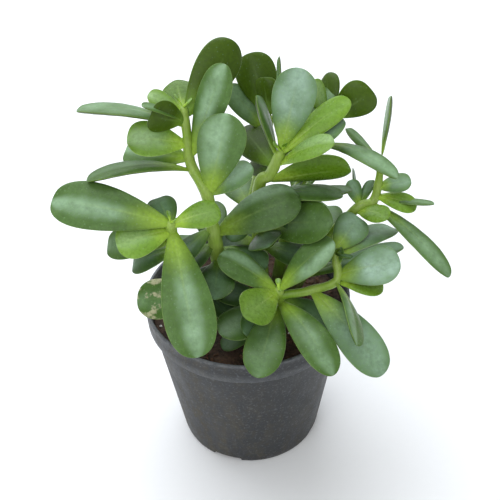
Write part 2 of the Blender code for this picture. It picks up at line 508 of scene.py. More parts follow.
    def material(self) -> bpy.types.Material:
        """Build the node material.

        Returns:
            The leaf material, which reads the attributes leaf_place, leaf_marks and leaf_painted_highlight.
        """
        material, shader = new_material(self.name)
        tree = material.node_tree
        leaf = self.read(tree)
        skin = self.waxed_skin(tree, leaf)
        skin = self.foot_and_rib(tree, leaf, skin)
        skin = self.rim_and_pores(tree, leaf, skin)
        scars = self.scars(tree, leaf)
        skin = add_node(
            tree, "ShaderNodeMix", {0: scars, 6: skin, 7: linear(self.scar)}, data_type="RGBA"
        ).outputs[2]

        # Each leaf's own depth of green, with the fine mottling on top of it.
        value = add_node(
            tree,
            "ShaderNodeMapRange",
            {"Value": leaf.mottle, "From Min": 0.3, "From Max": 0.7, "To Min": -0.15, "To Max": 0.15},
        ).outputs[0]
        value = add_node(tree, "ShaderNodeMath", {0: value, 1: leaf.tone}, operation="ADD").outputs[0]
        colour = add_node(tree, "ShaderNodeHueSaturation", {"Value": value, "Color": skin}).outputs[0]
        tree.links.new(colour, shader.inputs["Base Color"])

        # Scars are dull, and the mottling breaks up the gloss.
        gloss = add_node(
            tree,
            "ShaderNodeMapRange",
            {
                "Value": leaf.mottle,
                "From Min": 0.3,
                "From Max": 0.7,
                "To Min": self.roughness - 0.05,
                "To Max": self.roughness + 0.07,
            },
        ).outputs[0]
        gloss = add_node(
            tree, "ShaderNodeMath", {0: scars, 1: 0.4, 2: gloss}, operation="MULTIPLY_ADD"
        ).outputs[0]
        tree.links.new(gloss, shader.inputs["Roughness"])
        tree.links.new(self.relief(tree, leaf, scars), shader.inputs["Normal"])
        shader.inputs["IOR"].default_value = 1.45
        shader.inputs["Subsurface Weight"].default_value = 0.04
        shader.inputs["Subsurface Radius"].default_value = (0.35, 1.0, 0.15)
        shader.inputs["Subsurface Scale"].default_value = 1.5 * MM
        shader.inputs["Specular IOR Level"].default_value = 0.27
        return material


@dataclass(frozen=True)
class StemFinish:
    """Skin of a succulent stem: green and smooth near the tips, brown and corky low down."""

    name: str = "jade_stem_bark"
    young: str = "#86A832"
    mature: str = "#658A26"
    cork: str = "#4C4524"
    scar: str = "#A3B860"

    def material(self) -> bpy.types.Material:
        """Build the node material.

        Returns:
            The stem material, which reads the attribute stem_place: how young the stem is at a
            point, and how near that point is to a leaf's foot.
        """
        material, shader = new_material(self.name)
        tree = material.node_tree
        spot = add_node(tree, "ShaderNodeTexCoord").outputs["Object"]
        place = add_node(tree, "ShaderNodeAttribute", attribute_name="stem_place")
        parts = add_node(tree, "ShaderNodeSeparateXYZ", {0: place.outputs["Vector"]})
        youth, leaf_foot = parts.outputs[0], parts.outputs[1]
        # Patches of bark about 5 mm, and fine lengthwise cracks drawn 0.8 mm apart.
        patches = add_node(
            tree,
            "ShaderNodeTexNoise",
            {"Vector": spot, "Scale": per_metre(5.0), "Detail": 4.0, "Roughness": 0.6},
        ).outputs["Fac"]
        stretched = add_node(
            tree, "ShaderNodeMapping", {"Vector": spot, "Scale": (1.0, 1.0, 0.22)}
        ).outputs[0]
        cracks = add_node(
            tree,
            "ShaderNodeTexNoise",
            {"Vector": stretched, "Scale": per_metre(0.8), "Detail": 3.0, "Roughness": 0.65},
        ).outputs["Fac"]
        green = add_node(
            tree,
            "ShaderNodeMapRange",
            {"Value": youth, "From Min": 0.35, "From Max": 0.95},
            interpolation_type="SMOOTHSTEP",
        ).outputs[0]
        skin = add_node(
            tree,
            "ShaderNodeMix",
            {0: green, 6: linear(self.mature), 7: linear(self.young)},
            data_type="RGBA",
        ).outputs[2]
        age = add_node(
            tree, "ShaderNodeMath", {0: patches, 1: 0.55, 2: youth}, operation="MULTIPLY_ADD"
        ).outputs[0]
        corky = add_node(
            tree,
            "ShaderNodeMapRange",
            {"Value": age, "From Min": 0.38, "From Max": 0.75, "To Min": 0.9, "To Max": 0.0},
            interpolation_type="SMOOTHSTEP",
        ).outputs[0]
        skin = add_node(
            tree, "ShaderNodeMix", {0: corky, 6: skin, 7: linear(self.cork)}, data_type="RGBA"
        ).outputs[2]
        # The ring that a leaf's foot leaves round the stem is paler.
        scars = add_node(
            tree, "ShaderNodeMath", {0: leaf_foot, 1: 0.6}, operation="MULTIPLY"
        ).outputs[0]
        skin = add_node(
            tree, "ShaderNodeMix", {0: scars, 6: skin, 7: linear(self.scar)}, data_type="RGBA"
        ).outputs[2]
        dark = add_node(
            tree,
            "ShaderNodeMapRange",
            {"Value": cracks, "From Min": 0.35, "From Max": 0.65, "To Min": 0.86, "To Max": 1.08},
        ).outputs[0]
        colour = add_node(
            tree, "ShaderNodeHueSaturation", {"Value": dark, "Color": skin}
        ).outputs[0]
        tree.links.new(colour, shader.inputs["Base Color"])
        rough = add_node(
            tree,
            "ShaderNodeMapRange",
            {"Value": corky, "From Min": 0.0, "From Max": 0.9, "To Min": 0.38, "To Max": 0.75},
        ).outputs[0]
        tree.links.new(rough, shader.inputs["Roughness"])
        bump = add_node(
            tree, "ShaderNodeBump", {"Height": cracks, "Strength": 0.45, "Distance": 0.2 * MM}
        ).outputs[0]
        tree.links.new(bump, shader.inputs["Normal"])
        shader.inputs["Subsurface Weight"].default_value = 0.04
        shader.inputs["Subsurface Radius"].default_value = (0.5, 1.0, 0.2)
        shader.inputs["Subsurface Scale"].default_value = 1.5 * MM
        return material


@dataclass(frozen=True)
class PotFinish:
    """Moulded black polypropylene of a nursery pot: matte, dusty and scuffed from use, its edges pale partly
    from wear and partly as painted highlight.
    """

    name: str = "moulded_polypropylene"
    plastic: str = "#14171A"
    worn: str = "#2A2D31"
    dust: str = "#57503F"
    scuff: str = "#8A8E91"

    def dust_share(self, tree: bpy.types.NodeTree, spot: Socket, splashes: Socket, streaks: Socket) -> Socket:
        """Add the dust: thickest low on the wall and on its left side, broken up by wash marks.

        Args:
            tree: the material's node tree.
            spot: the place on the pot.
            splashes: the pattern of dried splashes.
            streaks: the pattern of streaks down the wall.

        Returns:
            The share of the plastic that dust hides.
        """
        parts = add_node(tree, "ShaderNodeSeparateXYZ", {0: spot}).outputs
        side, height = parts[0], parts[2]
        low = add_node(
            tree,
            "ShaderNodeMapRange",
            {"Value": height, "From Min": 0.0, "From Max": 0.07, "To Min": 0.55, "To Max": 0.12},
        ).outputs[0]
        left = add_node(
            tree,
            "ShaderNodeMapRange",
            {"Value": side, "From Min": -0.05, "From Max": 0.02, "To Min": 0.45, "To Max": 0.0},
            interpolation_type="SMOOTHSTEP",
        ).outputs[0]
        dusty = add_node(tree, "ShaderNodeMath", {0: low, 1: left}, operation="ADD").outputs[0]
        blotch = add_node(
            tree, "ShaderNodeMath", {0: splashes, 1: streaks}, operation="MULTIPLY"
        ).outputs[0]
        blotch = add_node(
            tree,
            "ShaderNodeMapRange",
            {"Value": blotch, "From Min": 0.16, "From Max": 0.40},
            interpolation_type="SMOOTHSTEP",
        ).outputs[0]
        return add_node(tree, "ShaderNodeMath", {0: dusty, 1: blotch}, operation="MULTIPLY").outputs[0]

    def material(self) -> bpy.types.Material:
        """Build the node material.

        Returns:
            The pot's plastic, which reads the attribute pot_edge_wear_and_highlight where its edges are
            rubbed and painted pale as a highlight.
        """
        material, shader = new_material(self.name)
        tree = material.node_tree
        spot = add_node(tree, "ShaderNodeTexCoord").outputs["Object"]
        # Handling wear in 20 mm clouds, dried splashes in 3 mm spots, moulded grain drawn 0.6 mm.
        clouds = add_node(
            tree,
            "ShaderNodeTexNoise",
            {"Vector": spot, "Scale": per_metre(20.0), "Detail": 4.0, "Roughness": 0.6},
        ).outputs["Fac"]
        splashes = add_node(
            tree,
            "ShaderNodeTexNoise",
            {"Vector": spot, "Scale": per_metre(3.0), "Detail": 5.0, "Roughness": 0.7},
        ).outputs["Fac"]
        grain = add_node(
            tree, "ShaderNodeTexNoise", {"Vector": spot, "Scale": per_metre(0.6), "Detail": 2.0}
        ).outputs["Fac"]
        # Rain and watering wash dust down the wall, so its streaks are eight times taller than wide.
        streaked = add_node(
            tree, "ShaderNodeMapping", {"Vector": spot, "Scale": (1.0, 1.0, 0.12)}
        ).outputs[0]
        streaks = add_node(
            tree,
            "ShaderNodeTexNoise",
            {"Vector": streaked, "Scale": per_metre(5.0), "Detail": 4.0, "Roughness": 0.6},
        ).outputs["Fac"]
        skin = add_node(
            tree,
            "ShaderNodeMix",
            {0: clouds, 6: linear(self.plastic), 7: linear(self.worn)},
            data_type="RGBA",
        ).outputs[2]
        dust = self.dust_share(tree, spot, splashes, streaks)
        skin = add_node(
            tree, "ShaderNodeMix", {0: dust, 6: skin, 7: linear(self.dust)}, data_type="RGBA"
        ).outputs[2]
        # Dried water leaves pale specks about a millimetre wide all over the wall.
        specks = add_node(
            tree,
            "ShaderNodeTexNoise",
            {"Vector": spot, "Scale": per_metre(1.3), "Detail": 3.0, "Roughness": 0.7},
        ).outputs["Fac"]
        specks = add_node(
            tree,
            "ShaderNodeMapRange",
            {"Value": specks, "From Min": 0.54, "From Max": 0.74, "To Min": 0.0, "To Max": 0.32},
        ).outputs[0]
        skin = add_node(
            tree, "ShaderNodeMix", {0: specks, 6: skin, 7: linear(self.scuff)}, data_type="RGBA"
        ).outputs[2]
        # The lip and the collar's corner are pale in patches: partly rubbed wear, partly a painted highlight
        # along these edges.
        edge = add_node(tree, "ShaderNodeAttribute", attribute_name="pot_edge_wear_and_highlight").outputs["Fac"]
        rubbed_and_highlight = add_node(
            tree,
            "ShaderNodeMapRange",
            {"Value": splashes, "From Min": 0.35, "From Max": 0.65, "To Min": 0.35, "To Max": 1.0},
        ).outputs[0]
        rubbed_and_highlight = add_node(tree, "ShaderNodeMath", {0: rubbed_and_highlight, 1: edge}, operation="MULTIPLY").outputs[0]
        skin = add_node(
            tree, "ShaderNodeMix", {0: rubbed_and_highlight, 6: skin, 7: linear(self.scuff)}, data_type="RGBA"
        ).outputs[2]
        tree.links.new(skin, shader.inputs["Base Color"])
        # Bare plastic is satin where it is worn, and dust dulls it.
        rough = add_node(
            tree,
            "ShaderNodeMapRange",
            {"Value": clouds, "From Min": 0.3, "From Max": 0.7, "To Min": 0.42, "To Max": 0.60},
        ).outputs[0]
        rough = add_node(
            tree, "ShaderNodeMath", {0: dust, 1: 0.4, 2: rough}, operation="MULTIPLY_ADD"
        ).outputs[0]
        tree.links.new(rough, shader.inputs["Roughness"])
        relief = add_node(
            tree, "ShaderNodeMath", {0: streaks, 1: 0.8, 2: grain}, operation="MULTIPLY_ADD"
        ).outputs[0]
        bump = add_node(
            tree, "ShaderNodeBump", {"Height": relief, "Strength": 0.4, "Distance": 0.15 * MM}
        ).outputs[0]
        tree.links.new(bump, shader.inputs["Normal"])
        shader.inputs["IOR"].default_value = 1.49
        return material


@dataclass(frozen=True)
class SoilFinish:
    """Peat potting mix or one of the loose things in it: dry, crumbly and quite without gloss."""

    name: str
    dark: str
    light: str
    grain_mm: float
    relief_mm: float

    def material(self) -> bpy.types.Material:
        """Build the node material.

        Returns:
            The material in two crumbly tones.
        """
        material, shader = new_material(self.name)
        tree = material.node_tree
        spot = add_node(tree, "ShaderNodeTexCoord").outputs["Object"]
        crumbs = add_node(
            tree,
            "ShaderNodeTexNoise",
            {"Vector": spot, "Scale": per_metre(self.grain_mm), "Detail": 6.0, "Roughness": 0.7},
        ).outputs["Fac"]
        drying = add_node(
            tree,
            "ShaderNodeTexNoise",
            {"Vector": spot, "Scale": per_metre(8.0 * self.grain_mm), "Detail": 2.0},
        ).outputs["Fac"]
        mixed = add_node(
            tree, "ShaderNodeMath", {0: crumbs, 1: drying}, operation="MULTIPLY"
        ).outputs[0]
        tones = add_node(
            tree,
            "ShaderNodeMapRange",
            {"Value": mixed, "From Min": 0.14, "From Max": 0.38},
        ).outputs[0]
        skin = add_node(
            tree,
            "ShaderNodeMix",
            {0: tones, 6: linear(self.dark), 7: linear(self.light)},
            data_type="RGBA",
        ).outputs[2]
        tree.links.new(skin, shader.inputs["Base Color"])
        bump = add_node(
            tree,
            "ShaderNodeBump",
            {"Height": crumbs, "Strength": 0.8, "Distance": self.relief_mm * MM},
        ).outputs[0]
        tree.links.new(bump, shader.inputs["Normal"])
        rough = add_node(
            tree,
            "ShaderNodeMapRange",
            {"Value": crumbs, "From Min": 0.3, "From Max": 0.7, "To Min": 0.98, "To Max": 0.85},
        ).outputs[0]
        tree.links.new(rough, shader.inputs["Roughness"])
        return material


class LeafKind(Enum):
    """The four kinds of leaf on the plant, each with its own finish: three ages and exposures, and a copy
    darkened with painted shade for leaves inside the plant.
    """

    # A full-grown leaf in the sun: mid green with a faint band of painted highlight.
    MATURE = LeafFinish(
        name="mature_jade_leaf",
        upper="#3C5A18",
        upper_light="#51732A",
        under="#40570A",
        foot="#8FAF38",
        rim="#8FAA5E",
        bloom="#98B893",
        roughness=0.34,
    )
    # A full-grown leaf with its wax unrubbed: blue-green and duller; its lighter greens and stronger pale
    # band are painted highlight.
    WAXY = LeafFinish(
        name="waxy_lit_jade_leaf",
        upper="#4C6E31",
        upper_light="#628548",
        under="#3E5A14",
        foot="#93B33C",
        rim="#9DB57C",
        bloom="#A9C6B2",
        roughness=0.40,
    )
    # A leaf of this season: yellow-green and glossy.
    YOUNG = LeafFinish(
        name="young_jade_leaf",
        upper="#628A1F",
        upper_light="#7DA234",
        under="#5B7F18",
        foot="#A5C744",
        rim="#B8D27A",
        bloom="#B2D29C",
        roughness=0.28,
    )
    # A leaf inside the plant: its greens are darkened as painted shade.
    SHADE = LeafFinish(
        name="painted_shade_jade_leaf",
        upper="#33501A",
        upper_light="#426222",
        under="#3E5606",
        foot="#6F9130",
        rim="#7C9A50",
        bloom="#7A9C7E",
        roughness=0.36,
    )


# --------------------------------------------------------------------------
# Camera, lights and floor
# --------------------------------------------------------------------------
@dataclass(frozen=True)
class Studio:
    """A pale floor, a broad cool light overhead and a weak, nearly white one in front."""

    camera_place: tuple[float, float, float] = (0.0021, -0.3501, 0.4009)
    look_down: float = 38.92
    roll: float = -1.69
    lens_mm: float = 65.04
    floor_size: float = 6.0
    fill: float = 0.62
    aim: tuple[float, float, float] = (0.0, 0.0, 0.12)

    def place_camera(self) -> None:
        """Put the camera at its viewing angle and make it the scene's."""
        data = bpy.data.cameras.new("camera")
        data.lens = self.lens_mm
        data.sensor_width = 36.0
        data.clip_start = 0.01
        camera = bpy.data.objects.new("camera", data)
        tilt = Matrix.Rotation(math.radians(90.0 - self.look_down), 4, "X")
        turn = Matrix.Rotation(math.radians(self.roll), 4, "Z")
        camera.matrix_world = Matrix.Translation(self.camera_place) @ tilt @ turn
        bpy.context.scene.collection.objects.link(camera)
        bpy.context.scene.camera = camera

    def hang_light(self, name: str, place: Vector, size: float, power: float, tint: str) -> None:
        """Hang one square soft light that faces the plant.

        Args:
            name: the light's name.
            place: where it hangs, in metres.
            size: its side in metres.
            power: its power in watts.
            tint: its colour as sRGB hex.
        """
        data = bpy.data.lights.new(name, "AREA")
        data.size = size
        data.energy = power
        data.color = linear(tint)[:3]
        lamp = bpy.data.objects.new(name, data)
        facing = (Vector(self.aim) - place).to_track_quat("-Z", "Y")
        lamp.matrix_world = Matrix.LocRotScale(place, facing, None)
        bpy.context.scene.collection.objects.link(lamp)

    def light(self) -> None:
        """Fill the room with even light and hang the two lamps."""
        world = bpy.data.worlds.new("studio")
        world.use_nodes = True
        background = world.node_tree.nodes["Background"]
        background.inputs["Color"].default_value = linear("#F4F7FA")
        background.inputs["Strength"].default_value = self.fill
        bpy.context.scene.world = world
        bpy.context.scene.view_settings.view_transform = "Standard"
        self.hang_light("sky_panel", Vector((-0.25, 0.60, 1.15)), 1.5, 19.0, "#F2F7FF")
        self.hang_light("front_panel", Vector((-0.35, -1.0, 1.0)), 1.0, 6.0, "#FAFBFF")

    def lay_floor(self) -> None:
        """Lay the pale floor under the pot."""
        material, shader = new_material("pale_studio_paper")
        tree = material.node_tree
        spot = add_node(tree, "ShaderNodeTexCoord").outputs["Object"]
        fibre = add_node(
            tree, "ShaderNodeTexNoise", {"Vector": spot, "Scale": per_metre(4.0), "Detail": 3.0}
        ).outputs["Fac"]
        paper = add_node(
            tree,
            "ShaderNodeMix",
            {0: fibre, 6: linear("#F8F8F7"), 7: linear("#FBFBFA")},
            data_type="RGBA",
        ).outputs[2]
        tree.links.new(paper, shader.inputs["Base Color"])
        shader.inputs["Roughness"].default_value = 0.9
        bm = bmesh.new()
        bmesh.ops.create_grid(bm, x_segments=2, y_segments=2, size=0.5 * self.floor_size)
        floor = stand(bm, "studio_floor")
        floor.data.materials.append(material)


# --------------------------------------------------------------------------
# Pot
# --------------------------------------------------------------------------
@dataclass
class NurseryPot:
    """A thin-walled tapered pot with a collar, a rolled lip and four notches in its foot."""

    height: float = 90.0
    rim_radius: float = 53.0
    collar_depth: float = 12.0
    collar_step: float = 2.4
    collar_draft: float = 0.6
    base_radius: float = 38.0
    wall: float = 1.5
    floor: float = 2.0
    sides: int = 192
    notch_count: int = 4
    notch_width: float = 16.0
    notch_height: float = 3.2
    notch_depth: float = 7.0
    notch_corner: float = 1.6
    first_notch: float = -111.0
    lip_wear: float = 0.55
    corner_wear: float = 0.35

    def profile(self) -> list[tuple[float, float]]:
        """Return the closed half section as (radius, height), outer side first, in millimetres."""
        ledge = self.height - self.collar_depth
        collar = self.rim_radius - self.collar_draft
        wall_top = collar - self.collar_step
        return [
            (0.0, 0.6),
            (self.base_radius - 4.0, 0.6),
            (self.base_radius - 3.0, 0.0),
            (self.base_radius - 1.0, 0.0),
            (self.base_radius - 0.1, 1.0),
            (self.base_radius + 0.45, 3.2),
            (0.5 * (self.base_radius + wall_top), 0.5 * ledge),
            (wall_top - 0.1, ledge - 1.6),
            (wall_top + 0.25, ledge - 0.55),
            (wall_top + 1.0, ledge),
            (collar - 0.35, ledge),
            (collar, ledge + 0.5),
            (collar + 0.30, ledge + 6.0),
            (self.rim_radius - 0.25, self.height - 2.4),
            (self.rim_radius, self.height - 1.6),
            (self.rim_radius, self.height - 0.55),
            (self.rim_radius - 0.45, self.height),
            (self.rim_radius - 1.3, self.height),
            (self.rim_radius - self.wall - 0.2, self.height - 0.5),
            (collar - self.wall, ledge + self.wall + 1.5),
            (wall_top - self.wall, ledge + self.wall - 0.2),
            (0.5 * (self.base_radius + wall_top) - self.wall, 0.5 * ledge),
            (self.base_radius - self.wall, self.floor + 0.8),
            (self.base_radius - self.wall - 1.0, self.floor),
            (0.0, self.floor),
        ]

    def notch_cutter(self) -> bpy.types.Object:
        """Return one mesh that holds the four rounded notch shapes, used only for cutting."""
        bm = bmesh.new()
        for index in range(self.notch_count):
            angle = math.radians(self.first_notch + index * 360.0 / self.notch_count)
            turn = Matrix.Rotation(angle, 4, "Z")
            shift = Matrix.Translation((self.base_radius * MM, 0.0, 0.0))
            size = (2.0 * self.notch_depth * MM, self.notch_width * MM, 2.0 * self.notch_height * MM, 1.0)
            made = bmesh.ops.create_cube(bm, size=1.0, matrix=turn @ shift @ Matrix.Diagonal(size))
            outward = turn @ Vector((1.0, 0.0, 0.0))
            rounded = []
            for edge in dict.fromkeys(edge for vert in made["verts"] for edge in vert.link_edges):
                run = (edge.verts[0].co - edge.verts[1].co).normalized()
                if abs(run.dot(outward)) > 0.9:
                    rounded.append(edge)
            bmesh.ops.bevel(
                bm,
                geom=rounded,
                offset=self.notch_corner * MM,
                offset_type="OFFSET",
                segments=5,
                profile=0.5,
                affect="EDGES",
                material=-1,
            )
        bmesh.ops.recalc_face_normals(bm, faces=bm.faces)
        return stand(bm, "notch_cutter")

    def mark_edges(self, bm: bmesh.types.BMesh) -> None:
        """Write how pale the plastic is made at the lip and along the collar's lower corner: partly rubbed
        wear, partly painted highlight.

        Args:
            bm: the finished pot, which gets the attribute pot_edge_wear_and_highlight.
        """
        # This layer holds the pale edges: partly rubbed wear, partly a painted highlight.
        worn = bm.verts.layers.float.new("pot_edge_wear_and_highlight")
        corner_radius = self.rim_radius - self.collar_draft
        corner_level = self.height - self.collar_depth
        for vert in bm.verts:
            radius = math.hypot(vert.co.x, vert.co.y) / MM
            level = vert.co.z / MM
            lip = 1.0 - smooth_step(0.2, 2.0, self.height - level)
            away = math.hypot(radius - corner_radius, level - corner_level)
            corner = 1.0 - smooth_step(0.2, 1.4, away)
            vert[worn] = max(self.lip_wear * lip, self.corner_wear * corner)

    def build(self) -> bpy.types.Object:
        """Turn the wall, cut the notches and dress the pot.

        Returns:
            The pot.
        """
        bm = turned(self.profile(), self.sides)
        bmesh.ops.recalc_face_normals(bm, faces=bm.faces)
        blank = stand(bm, "pot_blank")
        cutter = self.notch_cutter()
        cut = blank.modifiers.new("notches", "BOOLEAN")
        cut.operation = "DIFFERENCE"
        cut.solver = "EXACT"
        cut.object = cutter
        bpy.context.view_layer.update()
        done = blank.evaluated_get(bpy.context.evaluated_depsgraph_get())
        bm = bmesh.new()
        bm.from_mesh(done.to_mesh())
        done.to_mesh_clear()
        for helper in (blank, cutter):
            bpy.data.objects.remove(helper, do_unlink=True)
        self.mark_edges(bm)
        return lay_down(bm, "nursery_pot", PotFinish().material(), ("pot",))


# --------------------------------------------------------------------------
# Soil
# --------------------------------------------------------------------------
@dataclass
class PottingSoil:
    """Peat mix that fills the pot, with bark, coir fibre and perlite lying on it."""

    top: float = 80.5
    radius: float = 49.3
    foot_radius: float = 36.0
    foot: float = 2.4
    rings: int = 64
    sides: int = 176
    chips: int = 420
    grains: int = 34
    fibres: int = 120
    seed: int = 7

    def level(self, x: float, y: float) -> float:
        """Return the soil's height at a place, all in metres."""
        here = Vector((x, y, 0.0))
        mound = 0.9 * noise.noise(here * 60.0)
        lumps = 0.75 * noise.noise(here * 210.0) + 0.45 * noise.noise(here * 520.0)
        crumbs = 0.22 * noise.noise(here * 1300.0)
        return (self.top + mound + lumps + crumbs) * MM

    def build_bed(self) -> bpy.types.Object:
        """Return the bed of soil."""
        profile = [(self.radius * (index / self.rings), self.top) for index in range(self.rings + 1)]
        profile += [
            (self.radius - 1.2, self.top - 5.0),
            (self.foot_radius, self.foot),
            (0.0, self.foot),
        ]
        bm = turned(profile, self.sides)
        for vert in bm.verts:
            if vert.co.z > (self.top - 1.0) * MM:
                vert.co.z = self.level(vert.co.x, vert.co.y)
        finish = SoilFinish("peat_potting_mix", "#1E150F", "#5A4332", 1.6, 0.5)
        return lay_down(bm, "soil_bed", finish.material(), ("soil",))

    def scatter(
        self,
        name: str,
        finish: SoilFinish,
        count: int,
        shape: Callable[[bmesh.types.BMesh, random.Random, Matrix], None],
        margin: float = 2.5,
    ) -> bpy.types.Object:
        """Strew one kind of small thing over the bed.

        Args:
            name: the piece's name.
            finish: its finish.
            count: how many there are.
            shape: adds one of them to the mesh at a place.
            margin: how far they keep from the bed's edge, in millimetres.

        Returns:
            All of them as one piece.
        """
        dice = random.Random(name + str(self.seed))
        bm = bmesh.new()
        for _ in range(count):
            reach = (self.radius - margin) * math.sqrt(dice.random())
            angle = dice.uniform(0.0, math.tau)
            x, y = reach * MM * math.cos(angle), reach * MM * math.sin(angle)
            spot = Matrix.Translation((x, y, self.level(x, y)))
            turn = Matrix.Rotation(dice.uniform(0.0, math.tau), 4, "Z")
            tilt = Matrix.Rotation(dice.uniform(-0.5, 0.5), 4, "X")
            shape(bm, dice, spot @ turn @ tilt)
        return lay_down(bm, name, finish.material(), smooth=False)

    @staticmethod
    def chip(bm: bmesh.types.BMesh, dice: random.Random, place: Matrix) -> None:
        """Add one flat bark chip to bm, 1.2 to 4 mm long, at place."""
        length = dice.uniform(0.6, 2.0) * MM
        size = Matrix.Diagonal((length, length * dice.uniform(0.45, 0.8), length * 0.35, 1.0))
        made = bmesh.ops.create_icosphere(bm, subdivisions=1, radius=1.0, matrix=place @ size)
        for vert in made["verts"]:
            vert.co += Vector((dice.gauss(0, 1), dice.gauss(0, 1), dice.gauss(0, 1))) * 0.13 * length

    @staticmethod
    def grain(bm: bmesh.types.BMesh, dice: random.Random, place: Matrix) -> None:
        """Add one puffed perlite grain to bm, 1.4 to 3 mm across, at place."""
        radius = dice.uniform(0.7, 1.5) * MM
        made = bmesh.ops.create_icosphere(bm, subdivisions=1, radius=radius, matrix=place)
        for vert in made["verts"]:
            vert.co += Vector((dice.gauss(0, 1), dice.gauss(0, 1), dice.gauss(0, 1))) * 0.12 * radius

    @staticmethod
    def fibre(bm: bmesh.types.BMesh, dice: random.Random, place: Matrix) -> None:
        """Bend one coir fibre out of a small square.

        Args:
            bm: the mesh that it is added to.
            dice: gives its length, 5 to 14 mm, its thickness and its bends.
            place: where it starts and how it lies.
        """
        steps = 6
        length = dice.uniform(5.0, 14.0) * MM / steps
        bend = dice.uniform(-0.45, 0.45)
        radius = dice.uniform(0.12, 0.24) * MM
        lie = place @ Matrix.Rotation(math.radians(dice.uniform(80.0, 96.0)), 4, "Y")
        made = bmesh.ops.create_circle(bm, cap_ends=True, segments=4, radius=radius, matrix=lie)
        start = made["verts"][0].link_faces[0]
        for _ in range(steps):
            moved = bmesh.ops.extrude_discrete_faces(bm, faces=[start])["faces"][0]
            turn = Matrix.Rotation(bend * dice.uniform(0.2, 1.0), 4, "X")
            step = lie @ turn @ Matrix.Translation((0.0, 0.0, length))
            bmesh.ops.transform(bm, matrix=step @ lie.inverted(), verts=moved.verts)
            lie = step
            start = moved
        rim = [edge for edge in bm.edges if edge.is_boundary]
        bmesh.ops.holes_fill(bm, edges=rim, sides=4)

    def build(self) -> list[bpy.types.Object]:
        """Build the bed and what lies on it.

        Returns:
            The bed, the bark, the perlite and the fibres.
        """
        bark = SoilFinish("shredded_bark", "#33231A", "#6B4A34", 0.9, 0.3)
        perlite = SoilFinish("expanded_perlite", "#B9B6AE", "#E9E7E1", 0.8, 0.3)
        coir = SoilFinish("coir_fibre", "#5A2E1B", "#8A5535", 0.7, 0.1)
        return [
            self.build_bed(),
            self.scatter("soil_bark_chips", bark, self.chips, self.chip),
            self.scatter("soil_perlite", perlite, self.grains, self.grain),
            self.scatter("soil_coir_fibres", coir, self.fibres, self.fibre, 14.0),
        ]


# --------------------------------------------------------------------------
# Leaves
# --------------------------------------------------------------------------
# The leaf blade's slow and quick ripples: height in millimetres, and how often in a metre.
RIPPLES = ((0.22, 75.0), (0.07, 230.0))


@dataclass(frozen=True)
class LeafStation:
    """One cross-section of a leaf: its share of the length, middle, directions and sizes in metres.

    The dish is how far its sides rise above its middle.
    """

    share: float
    middle: Vector
    across: Vector
    upward: Vector
    half_width: float
    half_thick: float
    dish: float


@dataclass(frozen=True)
class LeafLook:
    """What sets one leaf apart: its kind, depth of green, wear and painted highlight, and how it is shaped.

    The painted highlight lies in a band along the leaf: where its middle is from side to side (-1 to 1, 1 on
    the left as seen from the foot), its half width, and how strong it is.  Cup multiplies the
    dish and slim the width that the stations give.
    """

    kind: LeafKind
    tone: float = 1.0
    wear: float = 0.0
    wax: tuple[float, float, float] = (0.0, 0.6, 0.5)
    cup: float = 1.0
    slim: float = 1.0


